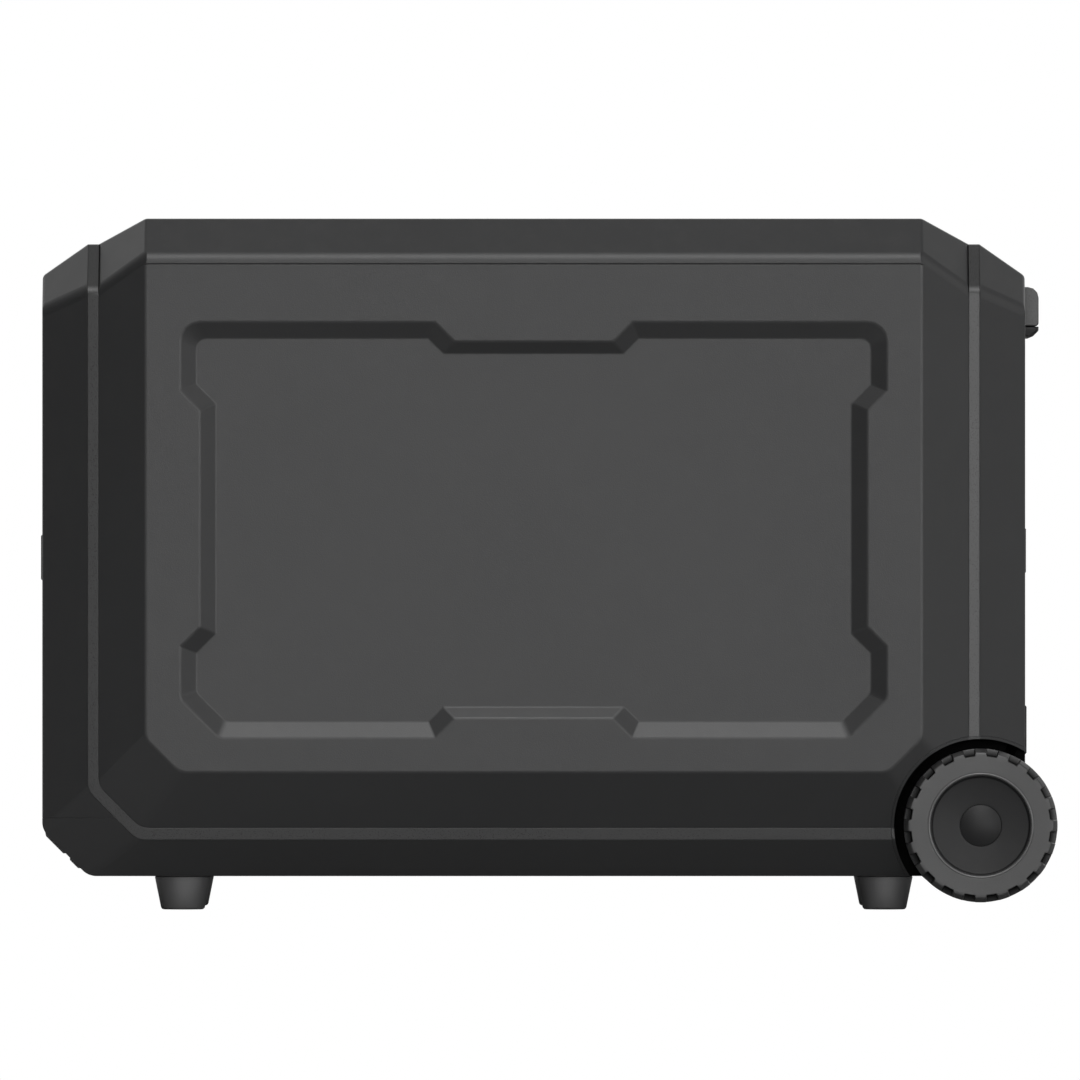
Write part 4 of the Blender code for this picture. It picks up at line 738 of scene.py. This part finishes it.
@dataclass
class Wheel:
    """One wheel: lugged tyre, dished rim, slim ring with a painted highlight and domed cap."""

    side: Side
    lugs: int = 20
    notch_share: float = 0.48
    notch_depth: float = 0.0046
    shoulder: float = 0.0105
    bead: float = 0.0343
    dish: float = 0.0042
    ring_radius: float = 0.0009
    ring_sink: float = 0.0006
    steps_per_lug: int = 40
    face_drop: float = 0.0026
    face_round: float = 0.0016
    tread_drop: float = 0.0050
    tread_round: float = 0.0030
    bead_round: float = 0.0004
    groove_depth: float = 0.0016

    def named(self, piece: str) -> str:
        """Name of a node or body on this wheel's side."""
        return piece + "_" + self.side.word

    def centre(self) -> Vector:
        """Middle of the wheel on the axle's line."""
        low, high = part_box(self.named("tyre"))
        return (low + high) / 2

    def face(self) -> float:
        """Distance from the wheel's middle to its outer face."""
        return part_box(self.named("tyre"))[1].y - self.centre().y

    def tyre(self) -> None:
        """Builds the tyre.

        The section is a closed rounded profile. Round the wheel the radius drops by the notch
        depth where the lug wave is low: depth * wave(angle) * shoulder(place), where the wave
        is a smoothed square of lugs per turn and the shoulder mask is 1 near both faces and 0
        over the middle band. The second side's lugs sit half a pitch on.
        """
        low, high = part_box(self.named("tyre"))
        radius, half, inner = (high.z - low.z) / 2, (high.y - low.y) / 2, self.bead
        shoulder, tread = radius - self.face_drop, half - self.tread_drop
        profile = rounded_profile([
            (inner, -half, self.bead_round), (shoulder, -half, self.face_round),
            (radius, -tread, self.tread_round), (radius, tread, self.tread_round),
            (shoulder, half, self.face_round), (inner, half, self.bead_round)], 5)
        count = 30
        flat = np.linspace(-half + 0.0062, half - 0.0062, count)
        crown = np.stack([np.full(count, radius), flat], axis=1)
        top = np.flatnonzero(profile[:, 0] > radius - 1e-7)
        profile = np.concatenate([profile[:top[0] + 1], crown, profile[top[-1]:]])
        side_face = np.linspace(inner + 0.0005, radius - 0.0052, 4)
        profile = np.concatenate([
            profile[:6], np.stack([side_face, np.full(4, -half)], 1), profile[6:-6],
            np.stack([side_face[::-1], np.full(4, half)], 1), profile[-6:]])
        segments = self.lugs * self.steps_per_lug
        points = spun(profile, Axis.Y, Vector((0, 0, 0)), segments)
        turn = np.arange(segments) / segments * self.lugs
        place = profile[:, 1:2]
        shift = np.where(place * self.side.value > 0, 0.0, 0.5)
        phase = np.abs((turn[None, :] + shift) % 1.0 - 0.5) * 2
        wave = 1 - smooth_step(phase, self.notch_share - 0.05, self.notch_share + 0.05)
        near = smooth_step(np.abs(place), half - self.shoulder, half - self.shoulder + 0.0012)
        bottom = radius - self.notch_depth
        reach = smooth_step(profile[:, :1], bottom - 0.0008, bottom + 0.0002)
        groove = np.exp(-((np.abs(place) - half + self.shoulder + 0.0012) / 0.0006) ** 2)
        drop = np.maximum(0, profile[:, :1] - bottom)
        notches = wave * near * reach * drop + self.groove_depth * groove * (reach > 0.5)
        scale = 1 - notches / np.maximum(profile[:, :1], POLE_DISTANCE)
        points[..., 0] *= scale
        points[..., 2] *= scale
        mesh = grid_mesh(self.named("tyre"), points + np.array(self.centre()), 40)
        # Marks the grooves, where the rubber finish paints shade near black.
        deep = np.clip(wave * near * (profile[:, :1] > bottom) * 2, 0, 1)
        recess = mesh.attributes.new("recess", "FLOAT", "POINT")
        if deep.size == len(mesh.vertices):
            recess.data.foreach_set("value", deep.astype(np.float32).ravel())
        else:
            LOG.warning("%s: recess left at 0", mesh.name)
        add_piece(self.named("tyre") + "_rubber", mesh, TYRE, self.named("wheel"),
                  self.named("tyre"))

    def spin(self, name: str, profile: list[tuple[float, float, float]], finish: Finish,
             node: str) -> None:
        """Spins a rounded profile about the axle.

        Args:
            name: the piece's name.
            profile: corners as (radius, distance inwards from the wheel's outer face, round).
            finish: its surface.
            node: CAD node that it stands for.
        """
        path = rounded_profile(profile, 5)
        path[:, 1] = (self.face() - path[:, 1]) * self.side.value
        mesh = grid_mesh(name, spun(path, Axis.Y, self.centre(), 128))
        add_piece(name, mesh, finish, self.named("wheel"), node)

    def rim(self) -> None:
        """Builds the rim: a shallow dish that deepens to the cap."""
        low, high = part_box(self.named("rim"))
        width = high.y - low.y
        lip = (high.z - low.z) / 2
        self.spin(self.named("rim") + "_disc", [
            (0.0065, width, 0.0002), (lip, width, 0.0005), (lip, 0.0014, 0.0004),
            (lip - 0.0014, 0.0014, 0.0004), (lip - 0.0024, 0.0032, 0.0010),
            (0.0150, 0.0008 + self.dish, 0.0030), (0.0137, 0.0008 + self.dish + 0.0002, 0),
            (0.0137, 0.0104, 0.0002), (0.0065, 0.0104, 0.0002)], BLACK,
            self.named("rim"))

    def ring(self) -> None:
        """Builds the slim ring at the tyre's edge, a circle carried round the axle, lighter
        grey as a painted highlight.
        """
        steps = 16
        turn = np.arange(steps) * TAU / steps
        out = self.face() - self.ring_sink + self.ring_radius * np.sin(turn)
        path = np.stack([self.bead - self.ring_sink + self.ring_radius * np.cos(turn),
                         out * self.side.value], 1)
        mesh = grid_mesh("ring", spun(path, Axis.Y, self.centre(), 160))
        add_piece(self.named("wheel_ring"), mesh, RING_PAINTED_HIGHLIGHT, self.named("wheel"))

    def cap(self) -> None:
        """Builds the cap: a shallow dome whose height falls as 1 - (r / R)^2."""
        low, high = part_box(self.named("hub_cap"))
        radius = (high.z - low.z) / 2 + 0.0002
        share = np.linspace(0, 1, 14)
        sunk, drop = 0.0022, 0.0030
        dome = np.stack([radius * share, sunk + drop * share ** 2], axis=1)
        wall = np.array([[radius, 0.0056], [radius, 0.0096], [0.0, 0.0096]])
        path = np.concatenate([dome, wall])
        path[:, 1] = (self.face() - path[:, 1]) * self.side.value
        mesh = grid_mesh("hub_cap", spun(path, Axis.Y, self.centre(), 96))
        add_piece(self.named("hub_cap") + "_dome", mesh, BLACK,
                  self.named("wheel"), self.named("hub_cap"))

    def build(self) -> None:
        """Builds the four pieces."""
        self.tyre()
        self.rim()
        self.ring()
        self.cap()


@dataclass
class Feet:
    """Four tapered rubber feet with a rounded lower edge and a shallow cup below."""

    edge: float = 0.0022
    cup: float = 0.0008
    fine: float = 0.0004
    taper: float = 0.766
    names: tuple[str, ...] = ("foot_front_left", "foot_front_right",
                              "foot_rear_left", "foot_rear_right")

    def build(self) -> None:
        """Spins each foot: straight taper, rounded lower edge and a flat ring to stand on."""
        for node in self.names:
            low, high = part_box(node)
            centre = Vector(((low.x + high.x) / 2, (low.y + high.y) / 2, 0))
            top = (high.x - low.x) / 2
            foot = top * self.taper
            profile = rounded_profile([
                (0.0, self.cup, 0), (foot - 0.006, self.cup, self.fine),
                (foot - 0.005, 0, self.fine), (foot, 0, self.edge),
                (top, high.z - 0.0006, self.fine), (top - 0.0006, high.z, 0),
                (0.0, high.z, 0)], 5)
            mesh = grid_mesh(node, spun(profile, Axis.Z, centre, 96))
            add_piece(node + "_rubber", mesh, FOOT, "housing", node)


# ---- handle --------------------------------------------------------------------------------

@dataclass
class PullHandle:
    """Soft underside of the grip; the grip itself is rounded with the other fittings."""

    waves: int = 4
    wave_height: float = 0.0011
    hand_half: float = 0.058
    end_round: float = 0.0035
    end_inset: float = 0.0030
    section_half: float = 0.014
    slant: float = 0.004
    sharp: float = 40.0

    def bar(self, name: str, corners: list[tuple[float, float, float]], low: float,
            high: float, finish: Finish, node: str) -> None:
        """Carries a section along Y, shrinking it at the ends on a quarter circle.

        Point (s, t) is centre + section(t) * shrink(s); on the lower side Z rises by
        wave_height * (1 - cos(waves * turn)) / 2 along the hand's width.

        Args:
            name: the piece's name.
            corners: section corners as (x, z, radius).
            low: start along Y.
            high: end along Y.
            finish: its surface.
            node: CAD node that it stands for.
        """
        section = rounded_profile(corners, 6)
        centre = section.mean(axis=0)
        ends = self.end_round
        share = np.linspace(0, math.pi / 2, 7)
        start = low + ends * (1 - np.sin(share))[::-1]
        places = np.concatenate([start, np.linspace(low + ends, high - ends, 121)[1:-1],
                                 (low + high - start)[::-1]])
        rise = 1 - self.end_inset * (1 - np.cos(share)) / self.section_half
        shrink = np.concatenate([[0.0], rise[::-1], np.ones(119), rise, [0.0]])
        places = np.concatenate([[low], places, [high]])
        ring = centre + (section - centre) * shrink[:, None, None]
        hand = np.clip(np.abs(places - (low + high) / 2) / self.hand_half, 0, 1)
        lift = self.wave_height * (1 - np.cos(TAU * self.waves * hand / 2)) / 2 * (hand < 1)
        floor = section[:, 1].min()
        lower = np.clip((centre[1] - ring[..., 1]) / (centre[1] - floor), 0, 1)
        z = ring[..., 1] + lift[:, None] * lower
        y = np.broadcast_to(places[:, None], z.shape)
        points = np.stack([ring[..., 0], y, z], axis=-1)
        mesh = grid_mesh(name, points, self.sharp, wraps=False)
        add_piece(name, mesh, finish, "handle_upper", node)

    def build(self) -> None:
        """Builds the soft pad; the grip keeps its CAD shape with rounded edges."""
        low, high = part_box("grip_pad")
        slant = self.slant
        self.bar("grip_pad_soft", [
            (low.x, high.z, 0.0003), (low.x, low.z + slant, 0.0018),
            (low.x + slant, low.z, 0.0018), (high.x - slant, low.z, 0.0018),
            (high.x, low.z + slant, 0.0018), (high.x, high.z, 0.0003)],
            low.y, high.y, BLACK, "grip_pad")


# ---- fittings ------------------------------------------------------------------------------

@dataclass
class Fittings:
    """Small fittings that keep their CAD shape and get rounded edges and their finish."""

    sharp: float = 30.0
    bevel_angle: float = 32.0
    rounded: dict[str, tuple[str, Finish, float]] = field(default_factory=lambda: {
        "handle_grip": ("handle_upper", BELT, 0.0016),
        "release_button": ("release_button", BLACK, 0.0007),
        **{flap: (flap, BLACK, 0.0004) for flap in ("charge_flap", "link_flap", "comm_flap")},
        "front_panel": ("housing", BLACK, 0.0005),
        "display_lens": ("housing", WINDOW, 0.0004),
        "switch_bezel": ("housing", BLACK, 0.0005),
        "switch_rocker": ("switch_rocker", BLACK, 0.0005),
        "comm_ports": ("housing", BLACK, 0.0004),
        "vent_grille": ("housing", BLACK, 0.0004),
        "lift_pad": ("housing", FOOT, 0.0007),
        "heat_sink": ("housing", TUBE, 0.0003),
        "busbar": ("housing", COPPER, 0.0003),
        **{"cell_module_" + spot: ("housing", WRAP, 0.0006)
           for spot in ("lower_front", "lower_rear", "upper_front", "upper_rear")}})

    def soften(self, node: str, body: str, finish: Finish, width: float) -> None:
        """Copies a CAD node, merges it and bevels its sharp edges.

        Args:
            node: the CAD node.
            body: the body that it rides on.
            finish: its surface.
            width: width of the bevel.
        """
        mesh = bpy.data.meshes.new(node + "_piece")
        settle(merged_copy(node), mesh, self.sharp)
        piece = add_piece(node + "_piece", mesh, finish, body, node)
        rounding = piece.modifiers.new("Rounding", "BEVEL")
        rounding.limit_method = "ANGLE"
        rounding.angle_limit = math.radians(self.bevel_angle)
        rounding.width = width
        rounding.segments = 3
        rounding.harden_normals = True

    def build(self) -> None:
        """Builds each rounded copy, then dresses the CAD nodes that stay as they are."""
        for node, (body, finish, width) in self.rounded.items():
            self.soften(node, body, finish, width)
        slots = {row["node"]: row["material_slot"] for row in frame["record"]["subparts"]}
        for node, part in frame["nodes"].items():
            part.data.materials.clear()
            part.data.materials.append(FINISHES[slots[node]].build())


@dataclass
class PanelDetails:
    """Small fittings on the front panel: hexagon-socket screws and a row of level lights."""

    screw_radius: float = 0.0036
    screw_height: float = 0.0014
    screw_inset: float = 0.0190
    socket_radius: float = 0.0017
    light_radius: float = 0.0023
    light_pitch: float = 0.013
    light_drop: float = 0.011
    lights: int = 5

    def fitting(self, name: str, place: tuple[float, float],
                profile: list[tuple[float, float, float]], finish: Finish) -> None:
        """Spins one fitting about X on the panel's face.

        Within the socket radius, a ring's radius follows a regular hexagon: at angle a it is
        multiplied by cos(30) / cos((a mod 60) - 30), in degrees.

        Args:
            name: the piece's name.
            place: its Y and Z.
            profile: (radius, height, rounding) corners, height away from the panel.
            finish: its surface.
        """
        segments = 48
        path = rounded_profile(profile, 4)
        inner = path[:, 0] < self.socket_radius + 0.00005
        path[:, 1] = -path[:, 1]
        centre = Vector((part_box("front_panel")[0].x, *place))
        grid = spun(path, Axis.X, centre, segments)
        angle = np.arange(segments) * TAU / segments
        hexagon = math.cos(TAU / 12) / np.cos(angle % (TAU / 6) - TAU / 12)
        offset = grid[inner, :, 1:] - np.array(place)
        grid[inner, :, 1:] = np.array(place) + offset * hexagon[None, :, None]
        add_piece(name, grid_mesh(name, grid), finish, "housing")

    def build(self) -> None:
        """Builds the corner screws and the level lights under the display."""
        low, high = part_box("front_panel")
        top, socket = self.screw_height, self.socket_radius
        head = [(0.0, 0.0, 0), (self.screw_radius, 0.0, 0), (self.screw_radius, top, 0.0007),
                (socket + 0.0002, top, 0.0001), (socket, top - 0.0003, 0), (socket, 0.0004, 0),
                (0.0, 0.0004, 0)]
        inset = self.screw_inset
        for row, z in (("lower", low.z + inset), ("upper", high.z - inset)):
            for side, y in (("left", low.y + inset), ("right", high.y - inset)):
                self.fitting("panel_screw_" + row + "_" + side, (y, z), head, ZINC)
        lens_low, lens_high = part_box("display_lens")
        radius = self.light_radius
        bead = [(0.0, 0.0, 0), (radius, 0.0, 0), (radius, 0.0007, 0.0004),
                (radius * 0.80, 0.00095, 0.0003), (0.0, 0.0011, 0)]
        middle, z = (lens_low.y + lens_high.y) / 2, lens_low.z - self.light_drop
        for index in range(self.lights):
            y = middle + (index - (self.lights - 1) / 2) * self.light_pitch
            self.fitting(f"level_light_{index + 1}", (y, z), bead, LEVEL)


# ---- studio --------------------------------------------------------------------------------

@dataclass(frozen=True)
class Glow:
    """One soft bright patch of the studio's surround: strength * max(0, d.towards)^focus."""

    azimuth: float
    elevation: float
    strength: float
    focus: float

    def towards(self) -> Vector:
        """Direction of the patch; azimuth 0 is -Y and 90 is +X, in degrees."""
        turn, rise = math.radians(self.azimuth), math.radians(self.elevation)
        return Vector((math.sin(turn) * math.cos(rise), -math.cos(turn) * math.cos(rise),
                       math.sin(rise)))


@dataclass
class Studio:
    """White studio: soft surround, one lamp, two light cards, pale floor and long lens."""

    view_width: float = 0.7021
    distance: float = 20.0
    offset_x: float = 0.0041
    height: float = 0.2409
    floor_tone: float = 0.42
    floor_reach: float = 60.0
    floor_gap: float = 0.0002
    card_power: float = 0.025
    card_size: tuple[float, float] = (0.160, 0.060)
    card_offset: tuple[float, float] = (0.050, -0.045)
    card_height: float = 0.0006
    glows: tuple[Glow, ...] = (
        Glow(0, 0, 4.9, 40), Glow(0, 52, 1.65, 9), Glow(0, 44, 4.8, 50), Glow(61, 0, 0.9, 10),
        Glow(27, 0, 9.6, 80), Glow(80, 24, 1.3, 50), Glow(-122, 35, 0.6, 20),
        Glow(180, 20, 1.3, 2))

    def world(self) -> None:
        """Makes the surround: white to the camera, soft patches to everything else."""
        world = bpy.data.worlds.new("studio")
        bpy.context.scene.world = world
        world.use_nodes = True
        sheet = NodeSheet(world.node_tree)
        sheet.tree.nodes.clear()
        direction = sheet.add("TexCoord").outputs["Generated"]
        total = 0.0
        for glow in self.glows:
            dot = sheet.add("VectorMath", {0: direction, 1: glow.towards()},
                            operation="DOT_PRODUCT").outputs["Value"]
            beam = sheet.math("POWER", sheet.math("MAXIMUM", dot, 0.0), glow.focus)
            total = sheet.math("ADD", total, sheet.math("MULTIPLY", beam, glow.strength))
        paper = (1.0, 1.0, 1.0, 1.0)
        soft = sheet.add("Background", {"Color": paper, "Strength": total})
        white = sheet.add("Background", {"Color": paper, "Strength": 1.0})
        sheet.end_white("OutputWorld", soft, white)

    def floor(self) -> None:
        """Lays the pale floor, which shows white and gives back little light from below."""
        mesh = bpy.data.meshes.new("floor")
        reach = self.floor_reach
        mesh.from_pydata([(-reach, -reach, 0), (reach, -reach, 0), (reach, reach, 0),
                          (-reach, reach, 0)], [], [(0, 1, 2, 3)])
        floor = add_object("floor", mesh)
        floor.location.z = -self.floor_gap
        material = bpy.data.materials.new("floor")
        material.use_nodes = True
        sheet = NodeSheet(material.node_tree)
        sheet.tree.nodes.clear()
        matt = sheet.add("BsdfDiffuse", {"Color": (*(self.floor_tone,) * 3, 1.0)})
        white = sheet.add("Emission", {"Strength": 1.0})
        sheet.end_white("OutputMaterial", matt, white)
        mesh.materials.append(material)

    def lamp(self, name: str, place: tuple[float, float, float], size: float,
             power: float) -> None:
        """Hangs one square soft lamp that looks at the middle of the pack.

        Args:
            name: the lamp's name.
            place: where it hangs.
            size: edge length.
            power: watts.
        """
        data = bpy.data.lights.new(name, "AREA")
        data.size = size
        data.energy = power
        lamp = add_object(name, data)
        lamp.location = place
        aim = Vector((0, 0, self.height)) - Vector(place)
        lamp.rotation_euler = aim.to_track_quat("-Z", "Y").to_euler()

    def card(self, node: str) -> None:
        """Lays a light card before a foot, hidden from the camera, to light that foot only."""
        low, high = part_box(node)
        data = bpy.data.lights.new("card_" + node, "AREA")
        data.shape = "RECTANGLE"
        data.size, data.size_y = self.card_size
        data.energy = self.card_power
        card = add_object("card_" + node, data)
        across, along = self.card_offset
        card.location = ((low.x + high.x) / 2 + across, low.y + along, self.card_height)
        card.rotation_euler = (math.pi, 0, 0)
        card.visible_camera = False
        lit = bpy.data.collections.new("lit_by_" + data.name)
        lit.objects.link(bpy.data.objects[node + "_rubber"])
        card.light_linking.receiver_collection = lit

    def camera(self) -> None:
        """Sets the long lens square to the left side."""
        low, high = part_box("top_cover")
        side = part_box("side_cover_left")[0].y
        data = bpy.data.cameras.new("side_view")
        data.sensor_width = 36.0
        data.lens = data.sensor_width * self.distance / self.view_width
        data.clip_start, data.clip_end = 0.5, 80.0
        camera = add_object("side_view", data)
        camera.location = ((low.x + high.x) / 2 + self.offset_x, side - self.distance,
                           self.height)
        camera.rotation_euler = (math.pi / 2, 0, 0)
        bpy.context.scene.camera = camera

    def build(self) -> None:
        """Sets up the studio and plain colour handling."""
        self.world()
        self.floor()
        self.lamp("key_lamp", place=(0.4, -2.4, 2.6), size=1.6, power=2.0)
        for node in ("foot_front_left", "foot_rear_left"):
            self.card(node)
        self.camera()
        view = bpy.context.scene.view_settings
        view.view_transform = "Standard"
        view.look = "None"
        view.exposure = 0.0
        view.gamma = 1.0


def main() -> None:
    """Builds the whole pack in order, then the studio around it."""
    logging.basicConfig(level=logging.INFO, format="%(name)s: %(message)s")
    Case().build()
    Wheel(Side.LEFT).build()
    Wheel(Side.RIGHT).build()
    Feet().build()
    PullHandle().build()
    Fittings().build()
    PanelDetails().build()
    Studio().build()


if __name__ == "__main__":
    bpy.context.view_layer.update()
    main()
